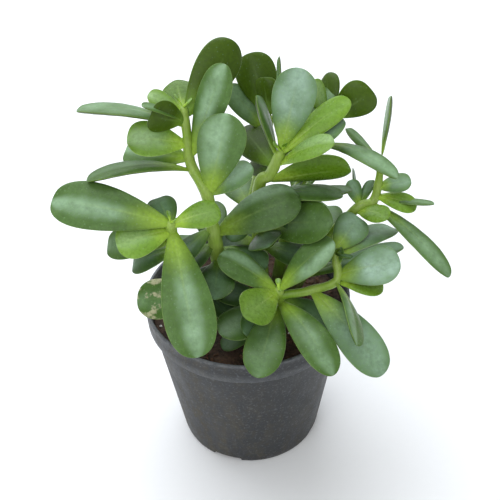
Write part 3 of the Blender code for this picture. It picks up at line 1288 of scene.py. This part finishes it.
@dataclass
class JadeLeaf:
    """A thick obovate leaf drawn through its stations, with a foot that clasps the stem."""

    name: str
    stations: list[LeafStation]
    look: LeafLook
    stands_for: tuple[str, ...] = ()
    around: int = 36
    rings: int = 46
    foot_length: float = 3.0
    tip_fullness: float = 0.92
    end_fullness: float = 0.9
    edge_sharpness: float = 1.25
    rib_depth: float = 0.35
    rib_width: float = 0.16

    @property
    def foot(self) -> Vector:
        """The point where the leaf meets its stem."""
        return self.stations[0].middle

    def section(self, share: float) -> LeafStation:
        """Find a cross-section between the stations.

        Args:
            share: the place along the leaf, 0 at the foot and 1 at the tip; below 0 the leaf
                is carried straight on.

        Returns:
            The cross-section there.
        """
        stations = self.stations
        if share <= stations[0].share:
            first, second = stations[0], stations[1]
            step = (second.middle - first.middle) / (second.share - first.share)
            ahead = first.middle + step * (share - first.share)
            return replace(first, share=share, middle=ahead)
        for first, second in zip(stations, stations[1:]):
            if share <= second.share:
                part = (share - first.share) / (second.share - first.share)
                return LeafStation(
                    share,
                    first.middle.lerp(second.middle, part),
                    first.across.lerp(second.across, part).normalized(),
                    first.upward.lerp(second.upward, part).normalized(),
                    first.half_width + (second.half_width - first.half_width) * part,
                    first.half_thick + (second.half_thick - first.half_thick) * part,
                    first.dish + (second.dish - first.dish) * part,
                )
        return stations[-1]

    def build(self, material: bpy.types.Material) -> bpy.types.Object:
        """Draw a ball out along the leaf.

        Args:
            material: the leaf's finish.

        Returns:
            The leaf.
        """
        length = (self.stations[-1].middle - self.stations[0].middle).length
        extra = self.foot_length * MM / length
        bm = bmesh.new()
        bmesh.ops.create_uvsphere(bm, u_segments=self.around, v_segments=self.rings, radius=1.0)
        place = bm.verts.layers.float_vector.new("leaf_place")
        marks = bm.verts.layers.float_vector.new("leaf_marks")
        wax = bm.verts.layers.float_vector.new("leaf_painted_highlight")
        look = self.look
        for vert in bm.verts:
            ball = vert.co.copy()
            part = 0.5 * (1.0 + ball.z)
            share = part * (1.0 + extra) - extra
            ring = math.hypot(ball.x, ball.y)
            side, flat = (ball.x / ring, ball.y / ring) if ring > 1e-6 else (0.0, 0.0)
            here = self.section(share)
            close = ring ** (self.tip_fullness if part > 0.5 else 1.0)
            half = here.half_width * close * look.slim
            lens = abs(flat) ** self.edge_sharpness * math.copysign(1.0, flat)
            thick = here.half_thick * ring**self.end_fullness * lens
            spot = here.middle + here.across * (half * side)
            dish = here.dish * look.cup * side * side * smooth_step(0.0, 0.5, ring)
            groove = 0.0
            if flat > 0.0:
                window = smooth_step(0.0, 0.15, share) * (1.0 - smooth_step(0.55, 0.95, share))
                groove = self.rib_depth * MM * window * math.exp(-((side / self.rib_width) ** 2))
            spot += here.upward * (thick + dish - groove)
            wave = sum(height * noise.noise(spot * often) for height, often in RIPPLES)
            spot += here.upward * (wave * MM * smooth_step(0.0, 0.2, share))
            vert.co = spot
            vert[place] = Vector((min(max(share, 0.0), 1.0), side, flat))
            vert[marks] = Vector((look.tone, look.wear, 0.0))
            vert[wax] = Vector(look.wax)
        return lay_down(bm, self.name, material, self.stands_for)


@dataclass(frozen=True)
class LeafReader:
    """Reads the stations of a leaf back from its frame node."""

    node: str

    def rings(self) -> list[list[Vector]]:
        """Return the node's vertex rings in order from one end to the other, both tips included."""
        bm = bmesh.new()
        bm.from_mesh(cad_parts[self.node].data)
        bmesh.ops.remove_doubles(bm, verts=bm.verts, dist=0.01 * MM)
        bm.verts.ensure_lookup_table()
        ends = sorted(bm.verts, key=lambda vert: -len(vert.link_edges))[:2]
        seen = {ends[0].index}
        layer = [ends[0]]
        rings = []
        while layer:
            rings.append([vert.co.copy() for vert in layer])
            reached = []
            for vert in layer:
                for edge in vert.link_edges:
                    other = edge.other_vert(vert)
                    if other.index not in seen:
                        seen.add(other.index)
                        reached.append(other)
            layer = reached
        bm.free()
        return rings

    @staticmethod
    def measure(
        ring: Sequence[Vector], across: Vector, upward: Vector
    ) -> tuple[Vector, float, float, float]:
        """Fit a dished ellipse to one ring.

        Args:
            ring: the ring's points in metres.
            across: the leaf's direction from side to side.
            upward: the leaf's direction through its thickness.

        Returns:
            The ring's centre, half width and half thickness, and its dish.
        """
        half_count = 0.5 * len(ring)
        centre = sum(ring, Vector()) / len(ring)
        sides = [(point - centre).dot(across) for point in ring]
        lifts = [(point - centre).dot(upward) for point in ring]
        half = math.sqrt(sum(side * side for side in sides) / half_count)
        bowl = [(side / half) ** 2 - 0.5 for side in sides]
        dish = sum(lift * rise for lift, rise in zip(lifts, bowl)) / sum(rise * rise for rise in bowl)
        level = [lift - dish * rise for lift, rise in zip(lifts, bowl)]
        thick = math.sqrt(sum(lift * lift for lift in level) / half_count)
        return centre, half, thick, dish

    def stations(self, foot: Callable[[Vector], float]) -> list[LeafStation]:
        """Measure the leaf.

        Args:
            foot: gives how far a point is from the leaf's stem, so that the foot end is known.

        Returns:
            The stations from the foot to the tip.
        """
        rings = self.rings()
        if foot(rings[0][0]) > foot(rings[-1][0]):
            rings.reverse()
        count = len(rings) - 1
        along = (rings[-1][0] - rings[0][0]).normalized()
        spreads = [np.array(ring) - np.mean(ring, axis=0) for ring in rings[1:count]]
        widest = max((np.linalg.svd(spread)[1:] for spread in spreads), key=lambda pair: pair[0][0])
        across = Vector(widest[1][0]).normalized()
        upward = across.cross(along).normalized()
        measured = [self.measure(ring, across, upward) for ring in rings[1:count]]
        # The upper face is the one that the sides rise towards.
        sign = -1.0 if sum(dish for *_, dish in measured) < 0.0 else 1.0
        result = []
        for index, (centre, half, thick, dish) in enumerate(measured, start=1):
            # The rings stand as on a ball, whose swell is divided out again.
            angle = math.pi * index / count
            swell = math.sin(angle)
            result.append(
                LeafStation(
                    share=0.5 * (1.0 - math.cos(angle)),
                    middle=centre - upward * (0.5 * dish),
                    across=across * sign,
                    upward=upward * sign,
                    half_width=half / swell,
                    half_thick=thick / swell,
                    dish=dish * sign,
                )
            )
        start = replace(result[0], share=0.0, middle=rings[0][0])
        end = replace(result[-1], share=1.0, middle=rings[-1][0])
        return [start, *result, end]


# --------------------------------------------------------------------------
# Stems
# --------------------------------------------------------------------------
# Heights in millimetres between which brown bark gives way to green skin.
BARK_TOP = (80.0, 112.0)


@dataclass
class Stem:
    """A fleshy stem: its centre line in millimetres with the radius at each point, base first."""

    name: str
    route: tuple[tuple[float, float, float, float], ...]
    bury: float = 5.0
    base_flare: float = 1.08
    around: int = 20
    step: float = 1.2
    swollen: float = 0.20
    swollen_reach: float = 2.2
    swollen_falloff: float = 1.4
    ripple: float = 0.05
    tip_rings: int = 3
    tip_closed: float = 0.93

    def line(self) -> list[tuple[Vector, float]]:
        """Return the centre line smoothed into close points in metres, with radii."""
        points = [(Vector(point[:3]) * MM, point[3] * MM) for point in self.route]
        start = points[0][0] - (points[1][0] - points[0][0]).normalized() * self.bury * MM
        points.insert(0, (start, points[0][1] * self.base_flare))
        result = []
        for index in range(len(points) - 1):
            before = points[max(index - 1, 0)]
            first, second = points[index], points[index + 1]
            after = points[min(index + 2, len(points) - 1)]
            count = max(int((second[0] - first[0]).length / (self.step * MM)), 1)
            # A cubic through the two middle points that leaves each along its neighbours' chord.
            for at in range(count):
                t = at / count
                a = (second[0] - before[0]) * 0.5
                b = (after[0] - first[0]) * 0.5
                h1, h2 = 2 * t**3 - 3 * t**2 + 1, -2 * t**3 + 3 * t**2
                h3, h4 = t**3 - 2 * t**2 + t, t**3 - t**2
                spot = first[0] * h1 + second[0] * h2 + a * h3 + b * h4
                result.append((spot, first[1] + (second[1] - first[1]) * t))
        result.append(points[-1])
        return result

    def distance(self, point: Vector) -> float:
        """Measure how far a point is from the stem.

        Args:
            point: the point in metres.

        Returns:
            Its distance from the centre line, in metres.
        """
        best = math.inf
        corners = [Vector(place[:3]) * MM for place in self.route]
        for first, second in zip(corners, corners[1:]):
            run = second - first
            share = min(max((point - first).dot(run) / run.length_squared, 0.0), 1.0)
            best = min(best, (point - first - run * share).length)
        return best

    def spot(self, below: float) -> tuple[Vector, Vector, float]:
        """Find a place on the stem.

        Args:
            below: distance below the stem's tip, in millimetres.

        Returns:
            The point in millimetres, the stem's direction there, and its radius in millimetres.
        """
        path = [(Vector(point[:3]), point[3]) for point in reversed(self.route)]
        left = below
        for (upper, thin), (lower, thick) in zip(path, path[1:]):
            length = (upper - lower).length
            if left <= length:
                share = left / length
                place = upper.lerp(lower, share)
                return place, (upper - lower).normalized(), thin + (thick - thin) * share
            left -= length
        return path[-1][0], UP, path[-1][1]

    def build(self, leaves: Sequence[JadeLeaf], material: bpy.types.Material) -> bpy.types.Object:
        """Extrude the stem along its line, swollen where leaves sit.

        Args:
            leaves: the leaves that grow from it.
            material: its finish.

        Returns:
            The stem.
        """
        line = self.line()
        bm = bmesh.new()
        place = bm.verts.layers.float_vector.new("stem_place")
        ahead = (line[1][0] - line[0][0]).normalized()
        sideways = ahead.orthogonal().normalized()
        lie: Matrix | None = None
        face: bmesh.types.BMFace | None = None
        feet = [leaf.foot for leaf in leaves]
        last = len(line) - 1
        for index, (spot, radius) in enumerate(line):
            if index < last:
                ahead = (line[index + 1][0] - line[max(index - 1, 0)][0]).normalized()
            sideways = (sideways - ahead * sideways.dot(ahead)).normalized()
            reaches = [(foot - spot).length / (radius + self.swollen_reach * MM) for foot in feet]
            near = max((math.exp(-self.swollen_falloff * reach**2) for reach in reaches), default=0.0)
            ripple = 1.0 + self.ripple * noise.noise(spot * 260.0)
            size = radius * ripple * (1.0 + self.swollen * near)
            ending = smooth_step(last - self.tip_rings, last, index)
            size *= math.sqrt(1.0 - (self.tip_closed * ending) ** 2)
            height = smooth_step(BARK_TOP[0] * MM, BARK_TOP[1] * MM, spot.z) * 1.2
            turn = Matrix((sideways, ahead.cross(sideways), ahead)).transposed().to_4x4()
            now = Matrix.Translation(spot) @ turn @ Matrix.Diagonal((size, size, size, 1.0))
            if face is None:
                made = bmesh.ops.create_circle(
                    bm, cap_ends=True, segments=self.around, radius=1.0, matrix=now
                )
                face = made["verts"][0].link_faces[0]
            else:
                face = bmesh.ops.extrude_discrete_faces(bm, faces=[face])["faces"][0]
                bmesh.ops.transform(bm, matrix=now @ lie.inverted(), verts=face.verts)
            for vert in face.verts:
                vert[place] = Vector((0.5 * (index / last + height), near, 0.0))
            lie = now
        bmesh.ops.holes_fill(bm, edges=[edge for edge in bm.edges if edge.is_boundary], sides=self.around)
        return lay_down(bm, "jade_" + self.name, material, (self.name,))


# A small leaf's stations, and its thickness and dish as shares of its width, with the thickest.
SMALL_STATIONS = 10
SMALL_THICKNESS = 0.26
SMALL_DISH = 0.07
SMALL_THICKEST = 4.2


@dataclass(frozen=True)
class SmallLeaf:
    """Placement of a leaf too small for a node of its own, as it grows from a stem.

    Distances are millimetres and angles degrees: how far below the stem's tip it grows, its
    heading (0 is +X, 90 is +Y), rise, reach from the stem's centre line to its tip, width,
    twist about its own length, and how far its middle bows upward.
    """

    name: str
    stem: str
    below: float
    heading: float
    rise: float
    reach: float
    width: float
    twist: float
    bow: float
    look: LeafLook

    def stations(self, stem: Stem) -> list[LeafStation]:
        """Shape the leaf on its stem.

        Args:
            stem: the stem that it grows from.

        Returns:
            The leaf's stations, foot first.
        """
        foot, axis, radius = stem.spot(self.below)
        turn, lift = math.radians(self.heading), math.radians(self.rise)
        along = Vector((math.cos(turn) * math.cos(lift), math.sin(turn) * math.cos(lift), math.sin(lift)))
        upward = Vector((-math.cos(turn) * math.sin(lift), -math.sin(turn) * math.sin(lift), math.cos(lift)))
        upward = Matrix.Rotation(math.radians(self.twist), 3, along) @ upward
        across = upward.cross(along)
        start = radius / max(along.cross(axis).length, 0.5)
        thickness = min(SMALL_THICKEST, SMALL_THICKNESS * self.width)
        result = []
        for index in range(SMALL_STATIONS + 1):
            share = 0.5 * (1.0 - math.cos(math.pi * index / SMALL_STATIONS))
            spine = foot + along * (start + (self.reach - start) * share)
            spine += upward * (self.bow * 4.0 * share * (1.0 - share))
            result.append(
                LeafStation(
                    share=share,
                    middle=spine * MM,
                    across=across,
                    upward=upward,
                    half_width=0.5 * self.width * (0.44 + 0.88 * share**0.8) * MM,
                    half_thick=0.5 * thickness * (0.75 + 0.25 * share) * MM,
                    dish=SMALL_DISH * self.width * share * MM,
                )
            )
        return result


# --------------------------------------------------------------------------
# The plant
# --------------------------------------------------------------------------
@dataclass
class JadePlant:
    """The stems, their leaves and the small leaves among them."""

    stems: tuple[Stem, ...]
    looks: dict[str, LeafLook]
    small: tuple[SmallLeaf, ...]
    small_around: int = 24
    small_rings: int = 30

    def leaves_of(self, stem: Stem) -> list[JadeLeaf]:
        """List one stem's leaves: those with frame nodes, and then the small ones.

        Args:
            stem: the stem that they grow from.

        Returns:
            The leaves, not yet built.
        """
        leaves = []
        prefix = "leaf_" + stem.name.removeprefix("stem_") + "_"
        for node in sorted(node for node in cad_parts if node.startswith(prefix)):
            stations = LeafReader(node).stations(stem.distance)
            leaves.append(JadeLeaf("jade_" + node, stations, self.looks[node], (node,)))
        for entry in self.small:
            if entry.stem == stem.name:
                leaves.append(
                    JadeLeaf(
                        "jade_leaf_" + entry.name,
                        entry.stations(stem),
                        entry.look,
                        around=self.small_around,
                        rings=self.small_rings,
                    )
                )
        return leaves

    def build(self) -> None:
        """Build every leaf and then the stems, which swell where the leaves sit."""
        finishes = {kind: kind.value.material() for kind in LeafKind}
        bark = StemFinish().material()
        for stem in self.stems:
            leaves = self.leaves_of(stem)
            for leaf in leaves:
                leaf.build(finishes[leaf.look.kind])
            stem.build(leaves, bark)


# Short names for the kinds of leaf, for the tables below.
M, W, Y, S = LeafKind.MATURE, LeafKind.WAXY, LeafKind.YOUNG, LeafKind.SHADE

STEMS = (
    Stem(
        "stem_left",
        ((-14, -8, 83, 3.6), (-24, -18, 112, 2.8), (-32, -22, 140, 2.4), (-33, -28, 158, 2.1)),
    ),
    Stem(
        "stem_tall",
        (
            (-4, 2, 83, 4.4),
            (-12, -8, 112, 3.6),
            (-15, -12, 140, 3.0),
            (-17, -8, 158, 2.6),
            (-24, 0, 170, 2.3),
            (-25, 4, 183, 2.1),
            (-26, 6, 197, 1.8),
        ),
    ),
    Stem("stem_centre", ((8, 4, 83, 4.2), (7, 8, 147, 3.0), (13, 8, 158, 2.5), (18, 6, 172, 2.2))),
    Stem("stem_back", ((0, 22, 83, 3.4), (3, 24, 125, 2.6), (10, 29, 155, 2.2), (14, 32, 176, 1.9))),
    Stem("stem_rear", ((16, 14, 83, 3.6), (24, 18, 130, 2.8), (36, 22, 162, 2.2), (42, 23, 179, 1.9))),
    Stem(
        "stem_right",
        ((22, 4, 83, 3.4), (38, 8, 112, 2.7), (55, 8, 136, 2.2), (64, 10, 140, 2.0), (67, 16, 161, 1.6)),
    ),
    Stem("stem_front", ((10, -10, 83, 3.6), (15, -24, 104, 2.7), (15, -30, 118, 2.2))),
    Stem(
        "stem_shoot",
        (
            (19, -28, 113, 2.1),
            (30, -27, 114, 2.1),
            (43, -24, 117, 2.0),
            (43, -18, 125, 1.7),
            (42, -14, 130, 1.4),
        ),
    ),
)

# The third entry of a look places that leaf's band of painted highlight.
LOOKS = {
    "leaf_left_1": LeafLook(M, 0.96, 0.0, (-0.12, 0.40, 0.95)),
    "leaf_left_2": LeafLook(Y, 1.0, 0.0, (0.1, 0.55, 0.5)),
    "leaf_left_3": LeafLook(M, 0.88),
    "leaf_left_4": LeafLook(M, 1.02, 0.12, (-0.05, 0.46, 0.85), slim=0.93),
    "leaf_left_5": LeafLook(Y, 0.90, 0.0, (0.0, 0.4, 0.1)),
    "leaf_left_6": LeafLook(S, 0.95),
    "leaf_left_7": LeafLook(M, 1.05, 1.0, (0.0, 0.6, 0.3)),
    "leaf_tall_1": LeafLook(M, 0.92, 0.0, (0.3, 0.5, 0.35), slim=0.85),
    "leaf_tall_2": LeafLook(Y, 1.05, 0.0, (0.0, 0.6, 1.0), cup=2.4),
    "leaf_tall_3": LeafLook(M, 1.0, 0.0, (0.2, 0.5, 0.8)),
    "leaf_tall_4": LeafLook(M, 1.0, 0.0, (0.0, 0.9, 0.6)),
    "leaf_tall_5": LeafLook(S, 1.0),
    "leaf_tall_6": LeafLook(Y, 0.78, 0.0, (0.0, 0.5, 0.15)),
    "leaf_tall_7": LeafLook(S, 1.05),
    "leaf_tall_8": LeafLook(M, 1.08, 0.0, (-0.1, 0.55, 0.95)),
    "leaf_tall_9": LeafLook(M, 1.12, 0.0, (-0.30, 0.60, 1.0)),
    "leaf_tall_10": LeafLook(M, 0.74, 0.0, (-0.80, 0.35, 0.8)),
    "leaf_tall_11": LeafLook(S, 0.85),
    "leaf_centre_1": LeafLook(W, 1.04, 0.0, (0.0, 0.9, 0.9), slim=0.88),
    "leaf_centre_2": LeafLook(M, 1.05, 0.0, (0.0, 0.6, 0.6)),
    "leaf_centre_3": LeafLook(Y, 1.0, 0.0, (0.0, 0.5, 0.12), slim=0.78),
    "leaf_centre_4": LeafLook(Y, 0.92, 0.0, (-0.5, 0.5, 0.6)),
    "leaf_centre_5": LeafLook(M, 0.96, 0.0, (0.4, 0.5, 0.5)),
    "leaf_centre_6": LeafLook(Y, 0.84, 0.0, (0.9, 0.3, 0.6)),
    "leaf_centre_7": LeafLook(M, 0.92),
    "leaf_centre_8": LeafLook(M, 0.92, 0.0, (0.0, 0.5, 0.25)),
    "leaf_back_1": LeafLook(S, 1.08),
    "leaf_back_2": LeafLook(M, 0.95, 0.0, (0.0, 0.9, 0.6)),
    "leaf_rear_1": LeafLook(M, 1.06, 0.0, (0.0, 0.8, 0.8), slim=0.66),
    "leaf_rear_2": LeafLook(S, 1.18),
    "leaf_right_1": LeafLook(M, 1.05, 0.0, (0.0, 0.8, 0.6)),
    "leaf_right_2": LeafLook(M, 0.95, slim=0.62),
    "leaf_right_3": LeafLook(Y, 1.0, 0.0, (0.0, 0.5, 0.15)),
    "leaf_right_4": LeafLook(Y, 0.95, 0.0, (0.0, 0.5, 0.15)),
    "leaf_right_5": LeafLook(M, 1.06, 0.0, (0.1, 0.7, 0.75), slim=0.80),
    "leaf_right_6": LeafLook(S, 1.1, 0.0, (0.0, 0.8, 0.6)),
    "leaf_front_1": LeafLook(M, 1.0, 0.0, (0.55, 0.45, 1.0)),
    "leaf_front_2": LeafLook(M, 0.98, 0.0, (0.40, 0.35, 0.8)),
    "leaf_front_3": LeafLook(Y, 0.74, 0.0, (0.0, 0.5, 0.15), cup=1.6),
    "leaf_front_4": LeafLook(M, 0.92, 0.0, (0.1, 0.7, 0.35), slim=0.94),
    "leaf_front_5": LeafLook(M, 0.94, 0.0, (0.1, 0.5, 0.6), slim=0.9),
    "leaf_front_6": LeafLook(S, 0.85),
    "leaf_front_7": LeafLook(S, 0.85),
    "leaf_shoot_1": LeafLook(W, 0.95, 0.0, (0.0, 0.9, 0.6)),
    "leaf_shoot_2": LeafLook(M, 1.0, 0.0, (0.5, 0.4, 0.6)),
    "leaf_shoot_3": LeafLook(Y, 0.95, 0.0, (0.0, 0.5, 0.1)),
    "leaf_shoot_4": LeafLook(W, 0.98, 0.0, (0.1, 0.9, 0.95)),
    "leaf_shoot_5": LeafLook(W, 1.0, 0.0, (0.0, 0.8, 0.6)),
    "leaf_shoot_6": LeafLook(W, 0.95, 0.0, (0.0, 0.8, 0.6)),
}

SMALL_LEAVES = (
    SmallLeaf("left_bud_1", "stem_left", 0, 103, 30, 6, 3.6, 48, 0, LeafLook(Y, 0.95)),
    SmallLeaf("left_bud_2", "stem_left", 0, -40, 40, 5, 3.6, 20, 0, LeafLook(Y, 1.0)),
    SmallLeaf("left_under_1", "stem_left", 3, 111, 7, 20, 14, -7, 0, LeafLook(S, 0.95)),
    SmallLeaf("tall_bud_1", "stem_tall", 0, 170, 60, 7, 4, 10, 0, LeafLook(Y, 1.0)),
    SmallLeaf("tall_bud_2", "stem_tall", 0, -10, 45, 6, 4, 10, 0, LeafLook(Y, 0.95)),
    SmallLeaf("tall_small_1", "stem_tall", 3, 171, 28, 18, 12, -12, 0, LeafLook(Y, 0.85)),
    SmallLeaf("tall_small_2", "stem_tall", 7, -145, 36, 26, 8, -11, 1, LeafLook(M, 1.1)),
    SmallLeaf("tall_small_3", "stem_tall", 44, 17, 26, 25, 16, 7, 0, LeafLook(W, 0.9)),
    SmallLeaf("tall_inner_1", "stem_tall", 70, -151, -25, 20, 16, 1, 0, LeafLook(S, 0.8)),
    SmallLeaf("tall_inner_2", "stem_tall", 84, -144, -31, 20, 18, 6, 0, LeafLook(S, 0.8)),
    SmallLeaf("back_small_1", "stem_back", 1, 118, 74, 20, 13, 132, 0, LeafLook(S, 1.1)),
    SmallLeaf("back_bud_1", "stem_back", 0, 30, 60, 9, 5, 0, 0, LeafLook(Y, 1.0)),
    SmallLeaf("rear_small_1", "stem_rear", 2, 86, 46, 24, 12, 144, 0, LeafLook(S, 1.0)),
    SmallLeaf("rear_small_2", "stem_rear", 4, 160, 72, 24, 12, -18, 0, LeafLook(Y, 1.0)),
    SmallLeaf("centre_small_1", "stem_centre", 8, 10, 29, 38, 15, 10, 0, LeafLook(W, 0.95)),
    SmallLeaf("centre_small_2", "stem_centre", 3, 87, 56, 46, 9, -78, 0, LeafLook(M, 1.0)),
    SmallLeaf("centre_small_3", "stem_centre", 34, -2, 10, 46, 14, -12, 1, LeafLook(M, 0.85)),
    SmallLeaf("centre_small_4", "stem_centre", 10, 119, 12, 30, 18, 148, 0, LeafLook(S, 0.85)),
    SmallLeaf("centre_small_5", "stem_centre", 16, 109, -8, 22, 14, 147, 0, LeafLook(S, 0.8)),
    SmallLeaf("centre_small_6", "stem_centre", 50, 30, 41, 34, 10, -30, 0, LeafLook(S, 0.9)),
    SmallLeaf("centre_bud_1", "stem_centre", 0, -60, 60, 7, 4, 0, 0, LeafLook(Y, 1.05)),
    SmallLeaf("centre_bud_2", "stem_centre", 0, 170, 50, 6, 4, 0, 0, LeafLook(Y, 1.0)),
    SmallLeaf("centre_inner_1", "stem_centre", 56, -177, 0, 26, 17, -15, 0, LeafLook(W, 0.7)),
    SmallLeaf("centre_inner_2", "stem_centre", 50, -83, 23, 30, 18, 23, 0, LeafLook(S, 0.8)),
    SmallLeaf("rear_inner_1", "stem_rear", 40, -102, -15, 28, 17, -8, 0, LeafLook(S, 0.8)),
    SmallLeaf("right_small_1", "stem_right", 16, -4, 13, 17, 12, 18, 0, LeafLook(W, 1.0)),
    SmallLeaf("right_small_2", "stem_right", 22, -14, 2, 29, 8, -12, 0, LeafLook(M, 1.05)),
    SmallLeaf("right_small_3", "stem_right", 32, 89, 22, 24, 6, 69, 0, LeafLook(S, 1.0)),
    SmallLeaf("right_small_4", "stem_right", 30, 61, 26, 16, 8, -30, 0, LeafLook(S, 1.0)),
    SmallLeaf("right_small_5", "stem_right", 30, 120, 49, 14, 10, 6, 0, LeafLook(W, 1.0)),
    SmallLeaf("front_bud_1", "stem_front", 0, 90, 35, 5.5, 3.4, 0, 0, LeafLook(Y, 1.0)),
    SmallLeaf("front_bud_2", "stem_front", 0, -80, 30, 5, 3.4, 0, 0, LeafLook(Y, 1.0)),
    SmallLeaf("front_inner_1", "stem_front", 16, -141, 3, 36, 18, -17, 0, LeafLook(M, 0.85)),
    SmallLeaf("front_inner_2", "stem_front", 24, -150, -24, 33, 15, 7, 0, LeafLook(S, 0.85)),
    SmallLeaf("front_inner_3", "stem_front", 20, -123, 10, 30, 14, -34, 0, LeafLook(S, 0.9)),
    SmallLeaf("shoot_small_1", "stem_shoot", 12, 70, 51, 12, 8, -43, 0, LeafLook(M, 1.05)),
    SmallLeaf("shoot_small_2", "stem_shoot", 3, -100, 47, 10, 7, 17, 0, LeafLook(S, 0.9)),
    SmallLeaf("shoot_small_3", "stem_shoot", 3, -44, 12, 10, 7, -18, 0, LeafLook(S, 0.9)),
    SmallLeaf("back_inner_1", "stem_back", 34, 70, 8, 26, 16, 6, 1, LeafLook(M, 0.9)),
    SmallLeaf("back_inner_2", "stem_back", 52, 110, 4, 30, 18, -8, 1, LeafLook(M, 0.85)),
    SmallLeaf("back_inner_3", "stem_back", 68, 60, 10, 27, 17, 5, 1, LeafLook(M, 0.8)),
    SmallLeaf("tall_inner_3", "stem_tall", 74, 100, 6, 33, 18, -6, 1, LeafLook(M, 0.85)),
    SmallLeaf("tall_inner_4", "stem_tall", 92, 78, -4, 30, 17, 5, 1, LeafLook(M, 0.8)),
    SmallLeaf("rear_inner_2", "stem_rear", 46, 72, 4, 27, 16, -8, 1, LeafLook(M, 0.9)),
    SmallLeaf("rear_inner_3", "stem_rear", 66, 40, 2, 29, 17, 6, 1, LeafLook(M, 0.85)),
    SmallLeaf("right_inner_1", "stem_right", 56, 84, 2, 28, 16, -5, 1, LeafLook(M, 0.9)),
    SmallLeaf("left_inner_1", "stem_left", 40, 96, 4, 28, 17, 6, 1, LeafLook(M, 0.9)),
    SmallLeaf("left_inner_2", "stem_left", 48, -36, -30, 24, 16, -10, 0, LeafLook(S, 0.9)),
    SmallLeaf("tall_inner_5", "stem_tall", 74, -15, -15, 26, 18, 3, 0, LeafLook(S, 1.0)),
    SmallLeaf("tall_inner_6", "stem_tall", 60, -146, -28, 25, 15, 2, 0, LeafLook(S, 0.95)),
    SmallLeaf("centre_inner_3", "stem_centre", 58, -16, -13, 28, 18, 4, 0, LeafLook(S, 0.95)),
    SmallLeaf("centre_inner_4", "stem_centre", 62, -164, -15, 27, 17, -3, 0, LeafLook(S, 0.9)),
    SmallLeaf("centre_inner_5", "stem_centre", 36, -143, -30, 22, 15, 6, 0, LeafLook(S, 1.0)),
    SmallLeaf("back_inner_4", "stem_back", 56, -115, -30, 22, 16, 20, 0, LeafLook(S, 0.95)),
    SmallLeaf("rear_inner_4", "stem_rear", 50, -49, -36, 35, 17, -11, 0, LeafLook(S, 0.95)),
)


def main() -> None:
    """Build the pot, the soil and the plant, then light and view them."""
    logging.basicConfig(level=logging.INFO, format="%(message)s")
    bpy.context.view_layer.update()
    studio = Studio()
    studio.place_camera()
    studio.light()
    studio.lay_floor()
    NurseryPot().build()
    PottingSoil().build()
    JadePlant(STEMS, LOOKS, SMALL_LEAVES).build()


if __name__ == "__main__":
    main()
